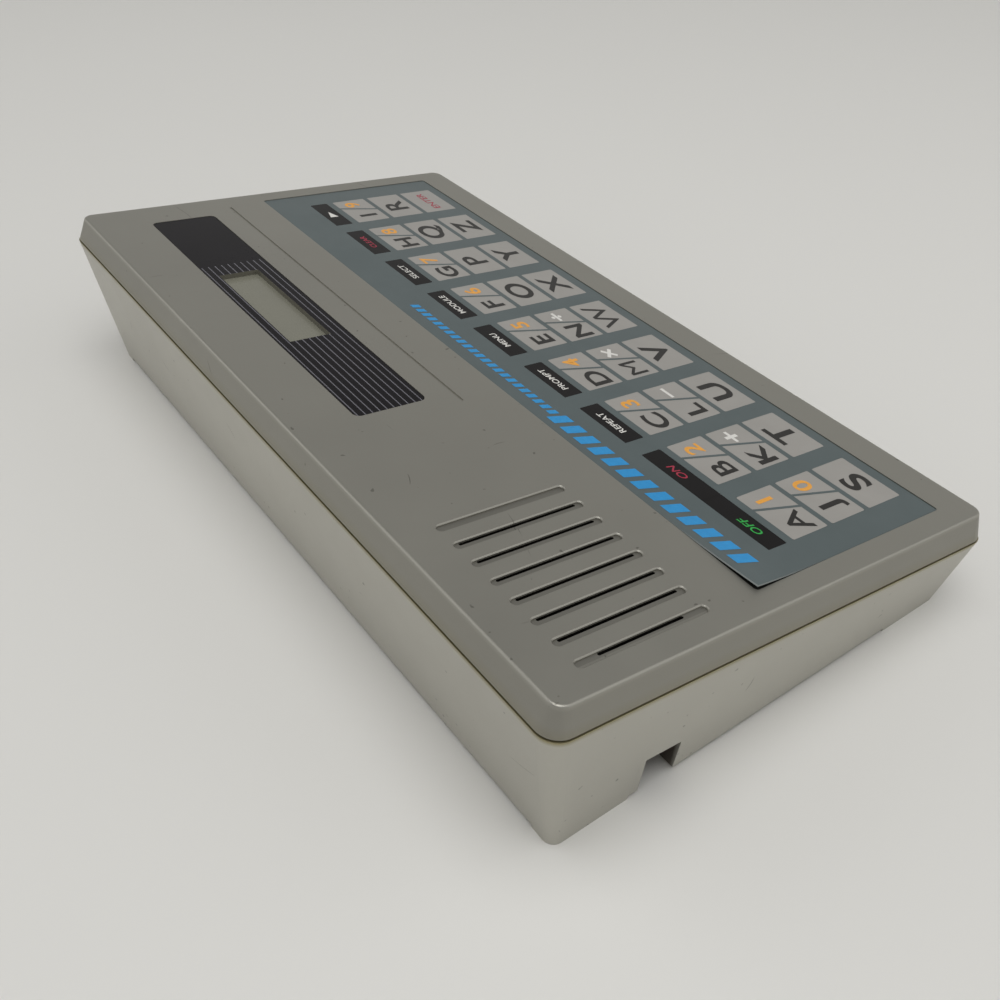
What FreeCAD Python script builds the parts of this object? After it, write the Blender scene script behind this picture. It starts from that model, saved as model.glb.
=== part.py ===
"""Table-top talking learning computer: a wedge-shaped case with a flat membrane keypad.

The case is two shells that meet in a tilted plane, the rim plane. Everything on the deck is
drawn in rim coordinates: x to the user's right, y up the slope away from the user, z square to
the deck, with z = 0 in the rim plane. The shared frame stands on the table under the middle of
the case, with Z up and +Y towards the display. All sizes are in millimetres and degrees.
"""
import FreeCAD
import Part
import math
import os
import Sketcher

SIZES = {
    # case
    "band_height": 7.5,
    "band_flare": 2.3,
    "deck_edge": 6.8,
    "front_edge": 10.85,
    "rear_deck": 61.85,
    "deck_corner": 3.0,
    "deck_thickness": 3.0,
    "wedge_angle": 9.0,
    "fold_round": 0.8,
    "rim_height": 33.8,
    "rim_gap": 0.4,
    "rim_step": 0.2,
    "base_inset": 5.3,
    "wall": 2.4,
    "floor_thickness": 2.2,
    "foot_lift": 1.4,
    "foot_width": 7.0,
    "foot_length": 22.0,
    "lip_height": 2.0,
    "lip_depth": 4.0,
    "lip_root": 0.5,
    "lip_wall": 1.4,
    "lip_room": 0.9,
    "ledge_inset": 1.5,
    "seat_gap": 0.2,
    "seat_corner": 0.5,
    "past": 1.0,
    # keypad
    "column_pitch": 25.4,
    "row_pitch": 14.27,
    "key_width": 19.15,
    "key_depth": 12.5,
    "key_corner": 0.5,
    "function_depth": 6.4,
    "function_gap": 2.45,
    "key_gap": 0.15,
    "key_travel": 0.4,
    "key_stop_gap": 0.2,
    "side_margin": 8.925,
    "rear_margin": 13.65,
    "front_margin": 3.56,
    "overlay_sink": 0.2,
    "overlay_corner": 0.8,
    "film": 0.4,
    "base_film": 0.3,
    "tail_width": 26.0,
    "tail_thickness": 0.3,
    "tail_side": 30.0,
    "tail_slot": 2.0,
    "tail_setback": 10.05,
    "connector_margin": 2.0,
    "connector_depth": 5.0,
    "connector_height": 5.0,
    "connector_room": 0.1,
    # display
    "plate_width": 133.3,
    "plate_depth": 21.45,
    "plate_thickness": 1.5,
    "plate_corner": 1.8,
    "plate_edge": 13.55,
    "plate_setback": 29.1,
    "plate_sink": 0.1,
    "window_width": 46.4,
    "window_depth": 12.8,
    "window_corner": 0.6,
    "window_shift": -0.8,
    "window_rise": 0.9,
    "glass_cover": 3.8,
    "glass_thickness": 2.4,
    "holder_margin": 4.0,
    "holder_height": 4.0,
    "groove_overrun": 4.75,
    "groove_width": 0.8,
    "groove_depth": 0.3,
    "groove_setback": 48.3,
    # speaker
    "slot_count": 8,
    "slot_pitch": 7.1,
    "slot_length": 36.7,
    "slot_width": 2.2,
    "slot_depth": 0.6,
    "slot_bevel": 0.3,
    "bevel_slope": -45.0,
    "slit_width": 0.8,
    "slit_shift": 0.65,
    "slit_end": 1.6,
    "end_slit_length": 24.0,
    "slot_edge": 8.0,
    "speaker_edge": 30.9,
    "grille_radius": 26.0,
    "grille_depth": 1.25,
    "speaker_radius": 27.2,
    "speaker_flange": 4.0,
    "speaker_depth": 12.5,
    "speaker_sheet": 0.8,
    "speaker_neck": 14.0,
    "speaker_vent": 4.5,
    "cone_room": 1.4,
    "cone_sheet": 0.4,
    "cone_neck": 6.0,
    "cone_lift": 2.6,
    "dust_cap": 2.4,
    "magnet_radius": 16.0,
    "magnet_height": 9.0,
    # circuit board
    "board_width": 150.0,
    "board_depth": 54.0,
    "board_thickness": 1.6,
    "board_corner": 1.0,
    "board_side": 15.0,
    "board_drop": 3.4,
    "board_margin": 5.0,
    "standoff_radius": 3.0,
    "board_screw_radius": 1.2,
    "board_screw_length": 6.0,
    "board_head_radius": 2.6,
    "board_head_height": 1.6,
    "chip_width": 15.0,
    "chip_height": 4.0,
    "chip_row": -8.0,
    "leg_length": 0.8,
    "leg_depth": 1.2,
    "capacitor_side": -62.0,
    "capacitor_pitch": 13.0,
    "capacitor_row": 8.0,
    "crystal_length": 11.0,
    "crystal_width": 4.6,
    "crystal_height": 3.6,
    "crystal_side": -5.0,
    "crystal_row": 10.0,
    # battery bay
    "cell_radius": 13.1,
    "cell_length": 49.5,
    "cell_room": 0.5,
    "cell_gap": 0.05,
    "cap_radius": 3.2,
    "cap_height": 1.4,
    "contact_room": 4.0,
    "contact_sheet": 0.5,
    "contact_side": 18.0,
    "contact_gap": 0.15,
    "spring_foot": 6.0,
    "spring_tip": 3.5,
    "bay_edge": 25.7,
    "bay_setback": 4.0,
    "bay_wall": 1.6,
    "bay_ledge": 3.8,
    "door_gap": 0.3,
    "tongue_width": 14.0,
    "tongue_root": 3.0,
    "tongue_reach": 2.6,
    "tongue_lift": 0.2,
    "tongue_thickness": 1.4,
    "neck_bite": 0.5,
    "notch_radius": 12.0,
    "notch_setback": 6.0,
    "notch_depth": 1.0,
    # case screws
    "post_edge": 16.2,
    "post_front": 17.2,
    "post_rear": 24.2,
    "left_post_side": -55.0,
    "middle_post_side": -40.0,
    "middle_post_setback": 52.2,
    "post_radius": 4.6,
    "post_drop": 4.0,
    "post_shelf": 3.0,
    "screw_radius": 1.5,
    "screw_length": 10.0,
    "head_radius": 3.0,
    "head_height": 2.2,
    "screw_room": 0.2,
    "thread_room": 0.02,
    "pilot_spare": 0.5,
    # adaptor inlet
    "inlet_setback": 30.2,
    "inlet_width": 10.8,
    "inlet_height": 13.5,
    "inlet_depth": 16.0,
    "inlet_wall": 2.0,
    "jack_height": 7.0,
    "jack_side": 10.0,
    "jack_length": 14.0,
    "jack_offset": 1.8,
    "jack_bore": 1.8,
    "jack_bore_depth": 12.0,
    "ferrule_radius": 2.9,
    "ferrule_room": 0.1,
}

# Sizes that follow from others.
DERIVED = {
    "overlay_width": "8 * <column_pitch> + <key_width> + 2 * <side_margin>",
    "row_stack": "<function_depth> + <function_gap> + 2 * <row_pitch> + <key_depth>",
    "overlay_depth": "<rear_margin> + <row_stack> + <front_margin>",
    "deck_width": "<overlay_width> + 2 * <deck_edge>",
    "deck_depth": "<front_edge> + <overlay_depth> + <rear_deck>",
    "overlay_middle": "<deck_depth> / 2 - <rear_deck> - <overlay_depth> / 2",
    "function_row": "<deck_depth> / 2 - <rear_deck> - <rear_margin> - <function_depth> / 2",
    "letter_row": "<function_row> - <function_depth> / 2 - <function_gap> - <key_depth> / 2",
    "tail_row": "<deck_depth> / 2 - <rear_deck> - <tail_setback>",
    "plate_side": "<deck_width> / 2 - <plate_edge> - <plate_width> / 2",
    "plate_row": "<deck_depth> / 2 - <plate_setback>",
    "window_side": "<plate_side> + <window_shift>",
    "window_row": "<plate_row> + <window_rise>",
    "glass_width": "<window_width> + 2 * <glass_cover>",
    "glass_depth": "<window_depth> + 1.4 * <glass_cover>",
    "groove_length": "<plate_width> + 2 * <groove_overrun>",
    "groove_row": "<deck_depth> / 2 - <groove_setback>",
    "slot_left": "<slot_edge> - <deck_width> / 2",
    "speaker_side": "<speaker_edge> - <deck_width> / 2",
    "board_row": "<overlay_middle>",
}

COLUMNS = 9
LETTER_ROWS = ("abcdefghi", "jklmnopqr", "stuvwxyz")
FUNCTION_KEYS = ("repeat", "prompt", "menu", "module", "select", "clear", "next")
CHIPS = (("processor_chip", 0.0, 52.0), ("voice_chip", -48.0, 36.0), ("memory_chip", 48.0, 36.0))
CAPACITORS = ((5.0, 9.0), (4.0, 8.0), (3.0, 7.0), (3.0, 7.0))
ROUND_END = 0.49
NEAR = 0.01

doc = FreeCAD.newDocument("learning_computer")
sheet = doc.addObject("Spreadsheet::Sheet", "Sizes")
for line, (alias, number) in enumerate(SIZES.items(), start=1):
    sheet.set("A%d" % line, alias)
    sheet.set("B%d" % line, str(number))
    sheet.setAlias("B%d" % line, alias)
doc.recompute()


def expand(expression):
    """Turn <names> into cells of the sheet, by way of the formulas that derived sizes stand for."""
    while "<" in expression:
        for alias, formula in DERIVED.items():
            expression = expression.replace("<%s>" % alias, "(%s)" % formula)
        for alias in SIZES:
            expression = expression.replace("<%s>" % alias, "Sizes." + alias)
    return expression


def size(alias):
    """One dimension as a number, read back from the sheet."""
    return float(sheet.evalExpression(expand("<%s>" % alias)))


def bind(thing, **expressions):
    """Tie properties of an object to cells: <names> joined by arithmetic."""
    for name, expression in expressions.items():
        thing.setExpression(name.replace("__", "."), expand(expression))


def vector(x, y, z):
    return FreeCAD.Vector(x, y, z)


# Places that several pieces share, in rim coordinates unless they are named for the table.

TILT = FreeCAD.Rotation(vector(1, 0, 0), size("wedge_angle"))
RIM = FreeCAD.Placement(vector(0, 0, size("rim_height")), TILT)
TABLE = FreeCAD.Placement()

RIM_WIDTH = size("deck_width") + 2 * size("band_flare")
RIM_DEPTH = size("deck_depth") + 2 * size("band_flare")
RIM_CORNER = size("deck_corner") + size("band_flare")
DECK_TOP = size("band_height")
DECK_UNDER = DECK_TOP - size("deck_thickness")

BASE_WIDTH = RIM_WIDTH - 2 * size("base_inset")
BASE_DEPTH = RIM_DEPTH * math.cos(math.radians(size("wedge_angle"))) - 2 * size("base_inset")
FLOOR_TOP = size("foot_lift") + size("floor_thickness")

OVERLAY_TOP = DECK_TOP - size("overlay_sink")
SPACER_TOP = OVERLAY_TOP - size("film")
RECESS_DEPTH = "<overlay_sink> + <film> + <key_travel> + <key_stop_gap> + <base_film>"

PLATE_TOP = DECK_TOP - size("plate_sink")
PLATE_UNDER = PLATE_TOP - size("plate_thickness")

BOARD_TOP = -size("board_drop")
BOARD_UNDER = BOARD_TOP - size("board_thickness")

BAR_WIDTH = size("column_pitch") + size("key_width")
SWITCH_WIDTH = (BAR_WIDTH - 2 * size("key_gap")) / 2

BAY_LENGTH = 2 * size("cell_length") + 2 * size("contact_room")
BAY_DEPTH = 4 * size("cell_radius") + 3 * size("cell_room")
BAY_REAR = BASE_DEPTH / 2 - size("bay_setback")
BAY_FRONT = BAY_REAR - BAY_DEPTH
BAY_RIGHT = RIM_WIDTH / 2 - size("bay_edge")
BAY_LEFT = BAY_RIGHT - BAY_LENGTH
BAY_MIDDLE = (BAY_LEFT + BAY_RIGHT) / 2
CELL_AXIS = FLOOR_TOP + size("cell_room") + size("cell_radius")
DOOR_REAR = BAY_REAR - size("bay_ledge")
DOOR_LENGTH = BAY_LENGTH - 2 * size("door_gap")

SIDE_POST = RIM_WIDTH / 2 - size("post_edge")
FRONT_POST = size("post_front") - RIM_DEPTH / 2
REAR_POST = RIM_DEPTH / 2 - size("post_rear")
POSTS = (
    (-SIDE_POST, FRONT_POST),
    (SIDE_POST, FRONT_POST),
    (SIDE_POST, REAR_POST),
    (size("left_post_side"), REAR_POST),
    (size("middle_post_side"), RIM_DEPTH / 2 - size("middle_post_setback")),
)
POST_TOP = -size("post_drop")
SHELF_UNDER = POST_TOP - size("post_shelf")

INLET_ROW = BASE_DEPTH / 2 - size("inlet_setback")
INLET_MOUTH = -RIM_WIDTH / 2 - size("past")
INLET_END = -BASE_WIDTH / 2 + size("inlet_depth")


def column_x(column):
    """Middle of a key column, counted from the left."""
    return (column - (COLUMNS - 1) / 2) * size("column_pitch")


def row_y(row):
    """Middle of a letter row, counted from the one nearest the display."""
    return size("letter_row") - row * size("row_pitch")


def standoffs():
    """Places of the four pillars that carry the circuit board."""
    reach_x = size("board_width") / 2 - size("board_margin")
    reach_y = size("board_depth") / 2 - size("board_margin")
    middle_x = size("board_side")
    middle_y = size("board_row")
    return [(middle_x + i * reach_x, middle_y + j * reach_y) for i in (-1, 1) for j in (-1, 1)]


# Sketch and feature helpers


def plane_sketch(body, name, height=0.0, x=0.0, y=0.0, turn=None):
    """Empty sketch on the body's own XY plane, moved to a height and a place on it."""
    sketch = body.newObject("Sketcher::SketchObject", name)
    flat = [f for f in body.Origin.OriginFeatures if f.Role == "XY_Plane"][0]
    sketch.AttachmentSupport = [(flat, "")]
    sketch.MapMode = "FlatFace"
    sketch.AttachmentOffset = FreeCAD.Placement(vector(x, y, height), turn or FreeCAD.Rotation())
    return sketch


def rounded_rectangle(sketch, width, depth, corner, sizes):
    """Four sides and four corner arcs about the sketch origin; sizes ties them to the sheet."""
    x, y, r = width / 2, depth / 2, corner
    sides = [
        Part.LineSegment(vector(r - x, -y, 0), vector(x - r, -y, 0)),
        Part.LineSegment(vector(x, r - y, 0), vector(x, y - r, 0)),
        Part.LineSegment(vector(x - r, y, 0), vector(r - x, y, 0)),
        Part.LineSegment(vector(-x, y - r, 0), vector(-x, r - y, 0)),
    ]
    arcs = []
    for quarter, (i, j) in enumerate(((1, -1), (1, 1), (-1, 1), (-1, -1))):
        circle = Part.Circle(vector(i * (x - r), j * (y - r), 0), vector(0, 0, 1), r)
        start = (quarter - 1) * math.pi / 2
        arcs.append(Part.ArcOfCircle(circle, start, start + math.pi / 2))
    sketch.addGeometry(sides + arcs, False)
    for side in range(4):
        arc = 4 + side
        sketch.addConstraint(Sketcher.Constraint("Tangent", side, 2, arc, 1))
        sketch.addConstraint(Sketcher.Constraint("Tangent", arc, 2, (side + 1) % 4, 1))
    for side in range(4):
        kind = "Vertical" if side % 2 else "Horizontal"
        sketch.addConstraint(Sketcher.Constraint(kind, side))
    for arc in range(4, 7):
        sketch.addConstraint(Sketcher.Constraint("Equal", arc, arc + 1))
    sketch.addConstraint(Sketcher.Constraint("Symmetric", 5, 3, 7, 3, -1, 1))
    measures = (
        ("corner", Sketcher.Constraint("Radius", 4, r)),
        ("width", Sketcher.Constraint("DistanceX", 3, 1, 1, 1, width)),
        ("depth", Sketcher.Constraint("DistanceY", 0, 1, 2, 1, depth)),
    )
    for name, constraint in measures:
        sketch.renameConstraint(sketch.addConstraint(constraint), name)
        if name in sizes:
            bind(sketch, **{"Constraints__" + name: sizes[name]})
    return sketch


def circles(sketch, places, radius, expression):
    """Equal circles at the given places, with one radius tied to the sheet."""
    for x, y in places:
        sketch.addGeometry(Part.Circle(vector(x, y, 0), vector(0, 0, 1), radius), False)
    for index in range(1, len(places)):
        sketch.addConstraint(Sketcher.Constraint("Equal", 0, index))
    sketch.renameConstraint(sketch.addConstraint(Sketcher.Constraint("Radius", 0, radius)), "radius")
    bind(sketch, Constraints__radius=expression)
    return sketch


def extrude(body, kind, sketch, length, reverse=False, taper=None):
    """Pad or pocket of a sketch; length and taper are expressions on the sheet."""
    feature = body.newObject("PartDesign::" + kind, sketch.Name + "_" + kind.lower())
    feature.Profile = sketch
    feature.Reversed = reverse
    bind(feature, Length=length)
    if taper:
        bind(feature, TaperAngle=taper)
    sketch.Visibility = False
    body.Tip = feature
    doc.recompute()
    return feature


def pattern(body, feature, sketch, count, length):
    """Repeat a feature along the sketch's x axis."""
    row = body.newObject("PartDesign::LinearPattern", feature.Name + "_row")
    row.Originals = [feature]
    row.Direction = (sketch, ["H_Axis"])
    row.Occurrences = count
    bind(row, Length=length)
    body.Tip = row
    doc.recompute()
    return row


def loft(body, kind, lower, upper):
    """Ruled loft between two sketches of the body."""
    feature = body.newObject("PartDesign::" + kind, lower.Name + "_loft")
    feature.Profile = lower
    feature.Sections = [upper]
    feature.Ruled = True
    body.Tip = feature
    doc.recompute()
    return feature


def new_body(label, placement):
    body = doc.addObject("PartDesign::Body", label)
    body.Label = label
    body.Placement = placement
    return body


def box(name, low, placement, **lengths):
    """Block whose sides are expressions; low is its lowest corner in the given frame."""
    block = doc.addObject("Part::Box", name)
    block.Placement = placement * FreeCAD.Placement(vector(*low), FreeCAD.Rotation())
    bind(block, **lengths)
    return block


def cylinder(name, foot, placement, turn=None, **lengths):
    """Round bar whose radius and height are expressions, standing on foot."""
    bar = doc.addObject("Part::Cylinder", name)
    bar.Placement = placement * FreeCAD.Placement(vector(*foot), turn or FreeCAD.Rotation())
    bind(bar, **lengths)
    return bar


def fuse(name, shapes):
    joined = doc.addObject("Part::MultiFuse", name)
    joined.Shapes = shapes
    return joined


def cut(name, base, tool):
    difference = doc.addObject("Part::Cut", name)
    difference.Base = base
    difference.Tool = tool
    return difference


def solid_of_revolution(label, outline, placement):
    """Ring or cone from an outline of (radius, height) points, turned about the frame's z."""
    points = [vector(radius, 0, height) for radius, height in outline]
    face = Part.Face(Part.makePolygon(points + points[:1]))
    turned = doc.addObject("Part::Feature", label)
    turned.Shape = face.revolve(vector(0, 0, 0), vector(0, 0, 1), 360)
    turned.Label = label
    turned.Placement = placement
    return turned


def group(label, shapes):
    """Several separate solids that share one name, as a box of like screws does."""
    joined = doc.addObject("Part::Compound", label)
    joined.Links = shapes
    joined.Label = label
    return joined


# Case shells


def rim_outline(sketch, inset, corner):
    """Rim outline drawn in by inset on every side."""
    grow = "<band_flare> - %.3f" % inset
    return rounded_rectangle(
        sketch, RIM_WIDTH - 2 * inset, RIM_DEPTH - 2 * inset, corner,
        {"width": "<deck_width> + 2 * (%s)" % grow, "depth": "<deck_depth> + 2 * (%s)" % grow})


def top_cover():
    """Upper shell: sloping band, deck with recesses, speaker grille and screw bosses."""
    body = new_body("top_cover", RIM)
    slope = "-atan((<band_flare> - <rim_step>) / (<band_height> - <rim_gap>))"
    foot = rim_outline(plane_sketch(body, "band_foot", size("rim_gap")), size("rim_step"), RIM_CORNER)
    block = extrude(body, "Pad", foot, "<band_height> - <rim_gap>", taper=slope)

    at_fold = [
        "Edge%d" % number for number, edge in enumerate(block.Shape.Edges, start=1)
        if all(abs(corner.Z - DECK_TOP) < NEAR for corner in edge.Vertexes)]
    fold = body.newObject("PartDesign::Fillet", "fold")
    fold.Base = (block, at_fold)
    bind(fold, Radius="<fold_round>")
    body.Tip = fold
    doc.recompute()

    hollow = rim_outline(plane_sketch(body, "hollow", size("rim_gap")), size("wall"), RIM_CORNER)
    extrude(body, "Pocket", hollow, "<band_height> - <deck_thickness> - <rim_gap>", reverse=True, taper=slope)

    recess = rounded_rectangle(
        plane_sketch(body, "keypad_recess", DECK_TOP, 0, size("overlay_middle")),
        size("overlay_width") + 2 * size("seat_gap"), size("overlay_depth") + 2 * size("seat_gap"),
        size("overlay_corner") + size("seat_gap"),
        {"width": "<overlay_width> + 2 * <seat_gap>", "depth": "<overlay_depth> + 2 * <seat_gap>",
         "corner": "<overlay_corner> + <seat_gap>"})
    extrude(body, "Pocket", recess, RECESS_DEPTH)

    tail = rounded_rectangle(
        plane_sketch(body, "tail_slot", DECK_TOP, size("tail_side"), size("tail_row")),
        size("tail_width") + size("tail_slot"), size("tail_slot"), size("tail_slot") / 4,
        {"width": "<tail_width> + <tail_slot>", "depth": "<tail_slot>"})
    extrude(body, "Pocket", tail, "<deck_thickness> + <past>")

    seat = rounded_rectangle(
        plane_sketch(body, "plate_recess", DECK_TOP, size("plate_side"), size("plate_row")),
        size("plate_width") + 2 * size("seat_gap"), size("plate_depth") + 2 * size("seat_gap"),
        size("plate_corner") + size("seat_gap"),
        {"width": "<plate_width> + 2 * <seat_gap>", "depth": "<plate_depth> + 2 * <seat_gap>",
         "corner": "<plate_corner> + <seat_gap>"})
    extrude(body, "Pocket", seat, "<plate_thickness> + <plate_sink>")

    glass = rounded_rectangle(
        plane_sketch(body, "glass_opening", DECK_TOP, size("window_side"), size("window_row")),
        size("glass_width") + 2 * size("seat_gap"), size("glass_depth") + 2 * size("seat_gap"),
        size("seat_corner"),
        {"width": "<glass_width> + 2 * <seat_gap>", "depth": "<glass_depth> + 2 * <seat_gap>"})
    extrude(body, "Pocket", glass, "<deck_thickness> + <past>")

    groove = rounded_rectangle(
        plane_sketch(body, "deck_groove", DECK_TOP, size("plate_side"), size("groove_row")),
        size("groove_length"), size("groove_width"), size("groove_width") * ROUND_END,
        {"width": "<groove_length>", "depth": "<groove_width>",
         "corner": "<groove_width> * %g" % ROUND_END})
    extrude(body, "Pocket", groove, "<groove_depth>")

    slots = (
        ("speaker_slot", 0.0, "<slot_width>", "<slot_length>", "<slot_depth>", None),
        ("slot_rim", size("slot_bevel"), "<slot_width> + 2 * <slot_bevel>",
         "<slot_length> + 2 * <slot_bevel>", "<slot_bevel>", "<bevel_slope>"),
    )
    for name, grow, width, length, depth, slope in slots:
        across = size("slot_width") + 2 * grow
        slot = rounded_rectangle(
            plane_sketch(body, name, DECK_TOP, size("slot_left"), size("plate_row")),
            across, size("slot_length") + 2 * grow, across * ROUND_END,
            {"width": width, "depth": length, "corner": "(%s) * %g" % (width, ROUND_END)})
        first = extrude(body, "Pocket", slot, depth, taper=slope)
        pattern(body, first, slot, int(size("slot_count")), "(<slot_count> - 1) * <slot_pitch>")

    inner = size("slot_count") - 2
    slits = (
        ("speaker_slit", 1, size("slot_length") - 2 * size("slit_end"), "<slot_length> - 2 * <slit_end>"),
        ("end_slit", 0, size("end_slit_length"), "<end_slit_length>"),
    )
    for name, place, along, length in slits:
        x = size("slot_left") + place * size("slot_pitch") + size("slit_shift")
        slit = rounded_rectangle(
            plane_sketch(body, name, DECK_TOP, x, size("plate_row")),
            size("slit_width"), along, size("slit_width") * ROUND_END,
            {"width": "<slit_width>", "depth": length, "corner": "<slit_width> * %g" % ROUND_END})
        first = extrude(body, "Pocket", slit, "<deck_thickness> - <grille_depth> / 2")
        if place:
            pattern(body, first, slit, int(inner), "(<slot_count> - 3) * <slot_pitch>")

    thinning = circles(
        plane_sketch(body, "grille_hollow", DECK_UNDER),
        [(size("speaker_side"), size("plate_row"))], size("grille_radius"), "<grille_radius>")
    extrude(body, "Pocket", thinning, "<grille_depth>", reverse=True)

    boss = circles(plane_sketch(body, "screw_boss", DECK_UNDER), POSTS, size("post_radius"), "<post_radius>")
    extrude(body, "Pad", boss, "<band_height> - <deck_thickness> + <post_drop>", reverse=True)
    pilot = circles(
        plane_sketch(body, "screw_pilot", POST_TOP), POSTS, size("screw_radius"), "<screw_radius>")
    extrude(body, "Pocket", pilot, "<screw_length> - <post_shelf> + <pilot_spare>", reverse=True)

    pillar = circles(
        plane_sketch(body, "board_pillar", DECK_UNDER), standoffs(), size("standoff_radius"),
        "<standoff_radius>")
    extrude(body, "Pad", pillar, "<band_height> - <deck_thickness> + <board_drop>", reverse=True)
    thread = circles(
        plane_sketch(body, "board_thread", BOARD_TOP), standoffs(), size("board_screw_radius"),
        "<board_screw_radius>")
    extrude(body, "Pocket", thread, "<board_screw_length> - <board_thickness> + <pilot_spare>", reverse=True)
    return body


def case_loft(name, outlines):
    """Solid between a flat outline near the table and a tilted one at the rim."""
    body = new_body(name, TABLE)
    (low_height, width, depth, corner), inset = outlines
    lower = rounded_rectangle(plane_sketch(body, name + "_foot", low_height), width, depth, corner, {})
    upper = rim_outline(plane_sketch(body, name + "_rim", size("rim_height"), turn=TILT), inset, RIM_CORNER)
    loft(body, "AdditiveLoft", lower, upper)
    return body


def rim_ring(name, bottom, height, outer, inner):
    """Flat ring that follows the rim, between two insets."""
    body = new_body(name, RIM)
    extrude(body, "Pad", rim_outline(plane_sketch(body, name + "_out", bottom), outer, RIM_CORNER), height)
    hole = rim_outline(plane_sketch(body, name + "_in", bottom), inner, RIM_CORNER)
    extrude(body, "Pocket", hole, height, reverse=True)
    return body


def inlet_prism(name, margin, mouth, end):
    """Tunnel with upright sides and a roof that runs with the slope of the deck."""
    front = INLET_ROW - size("inlet_width") / 2 - margin
    rear = INLET_ROW + size("inlet_width") / 2 + margin
    slope = math.tan(math.radians(size("wedge_angle")))
    roof = size("inlet_height") + margin
    reach = size("inlet_width") / 2 + margin
    points = [
        vector(mouth, front, -size("past")),
        vector(mouth, rear, -size("past")),
        vector(mouth, rear, roof + reach * slope),
        vector(mouth, front, roof - reach * slope),
    ]
    face = Part.Face(Part.makePolygon(points + points[:1]))
    prism = doc.addObject("Part::Feature", name)
    prism.Shape = face.extrude(vector(end - mouth, 0, 0))
    return prism


def bottom_case():
    """Lower shell: drafted walls, corner feet, battery bay, adaptor tunnel and screw posts."""
    wall = size("wall")
    outer = case_loft("case_outer", ((0.0, BASE_WIDTH, BASE_DEPTH, size("deck_corner")), 0.0))
    inner = case_loft(
        "case_inner",
        ((FLOOR_TOP, BASE_WIDTH - 2 * wall, BASE_DEPTH - 2 * wall, size("deck_corner") - size("past")), wall))

    bay_wall = size("bay_wall")
    bay_block = box(
        "bay_block", (BAY_LEFT - bay_wall, BAY_FRONT - bay_wall, 0), TABLE,
        Length="2 * (<cell_length> + <contact_room> + <bay_wall>)",
        Width="4 * <cell_radius> + 3 * <cell_room> + 2 * <bay_wall>",
        Height="<foot_lift> + <floor_thickness> + 2 * <cell_radius> + 2 * <cell_room> + <bay_wall>")
    hood = inlet_prism("inlet_hood", size("inlet_wall"), INLET_MOUTH, INLET_END + size("inlet_wall"))
    post_length = "<rim_height> * 2"
    posts = [
        cylinder("case_post", (x, y, POST_TOP), RIM, FreeCAD.Rotation(vector(1, 0, 0), 180),
                 Radius="<post_radius>", Height=post_length)
        for x, y in POSTS]
    cavity = cut("case_cavity", inner, fuse("case_inside", [bay_block, hood] + posts))
    shell = cut("case_shell", outer, cavity)

    lip_outer = wall + size("lip_room")
    lip_inner = lip_outer + size("lip_wall")
    ledge = rim_ring("lip_ledge", -size("lip_depth"), "<lip_depth>", size("ledge_inset"), lip_inner)
    lip = rim_ring("lip", -size("lip_root"), "<lip_height> + <lip_root>", lip_outer, lip_inner)
    walls = fuse("case_walls", [shell, ledge, lip])

    bay_room = box(
        "bay_room", (BAY_LEFT, BAY_FRONT, FLOOR_TOP), TABLE,
        Length="2 * (<cell_length> + <contact_room>)",
        Width="4 * <cell_radius> + 3 * <cell_room>",
        Height="2 * <cell_radius> + 2 * <cell_room>")
    door_way = box(
        "door_way", (BAY_LEFT, BAY_FRONT, -size("past")), TABLE,
        Length="2 * (<cell_length> + <contact_room>)",
        Width="4 * <cell_radius> + 3 * <cell_room> - <bay_ledge>",
        Height="<foot_lift> + <floor_thickness> + 2 * <past>")
    tunnel = inlet_prism("inlet_tunnel", 0.0, INLET_MOUTH, INLET_END)
    jack_hole = cylinder(
        "jack_hole", (INLET_END - size("past"), INLET_ROW, size("jack_height")), TABLE,
        FreeCAD.Rotation(vector(0, 1, 0), 90),
        Radius="<ferrule_radius> + <ferrule_room>", Height="<inlet_wall> + 2 * <past>")
    lift_width = box(
        "lift_across", (-RIM_WIDTH, size("foot_length") - BASE_DEPTH / 2, -size("past")), TABLE,
        Length="2 * <deck_width> + 4 * <band_flare>", Height="<foot_lift> + <past>")
    lift_width.Width = BASE_DEPTH - 2 * size("foot_length")
    lift_depth = box(
        "lift_along", (size("foot_width") - BASE_WIDTH / 2, -RIM_DEPTH, -size("past")), TABLE,
        Width="2 * <deck_depth> + 4 * <band_flare>", Height="<foot_lift> + <past>")
    lift_depth.Length = BASE_WIDTH - 2 * size("foot_width")
    wells = [
        cylinder("screw_well", (x, y, SHELF_UNDER), RIM, FreeCAD.Rotation(vector(1, 0, 0), 180),
                 Radius="<head_radius> + <screw_room>", Height=post_length)
        for x, y in POSTS]
    holes = [
        cylinder("screw_hole", (x, y, SHELF_UNDER - size("past")), RIM,
                 Radius="<screw_radius> + <screw_room>", Height="<post_shelf> + 2 * <past>")
        for x, y in POSTS]
    voids = [bay_room, door_way, tunnel, jack_hole, lift_width, lift_depth] + wells + holes
    case = cut("bottom_case", walls, fuse("case_voids", voids))
    case.Label = "bottom_case"
    return case


def case_screws():
    """Five screws, each a head and a shank, sitting in the posts."""
    screws = []
    for x, y in POSTS:
        head = cylinder(
            "screw_head", (x, y, SHELF_UNDER - size("head_height")), RIM,
            Radius="<head_radius>", Height="<head_height>")
        shank = cylinder(
            "screw_shank", (x, y, SHELF_UNDER), RIM,
            Radius="<screw_radius> - <thread_room>", Height="<screw_length>")
        screws.append(fuse("case_screw", [head, shank]))
    return group("case_screws", screws)


# Keypad


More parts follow.
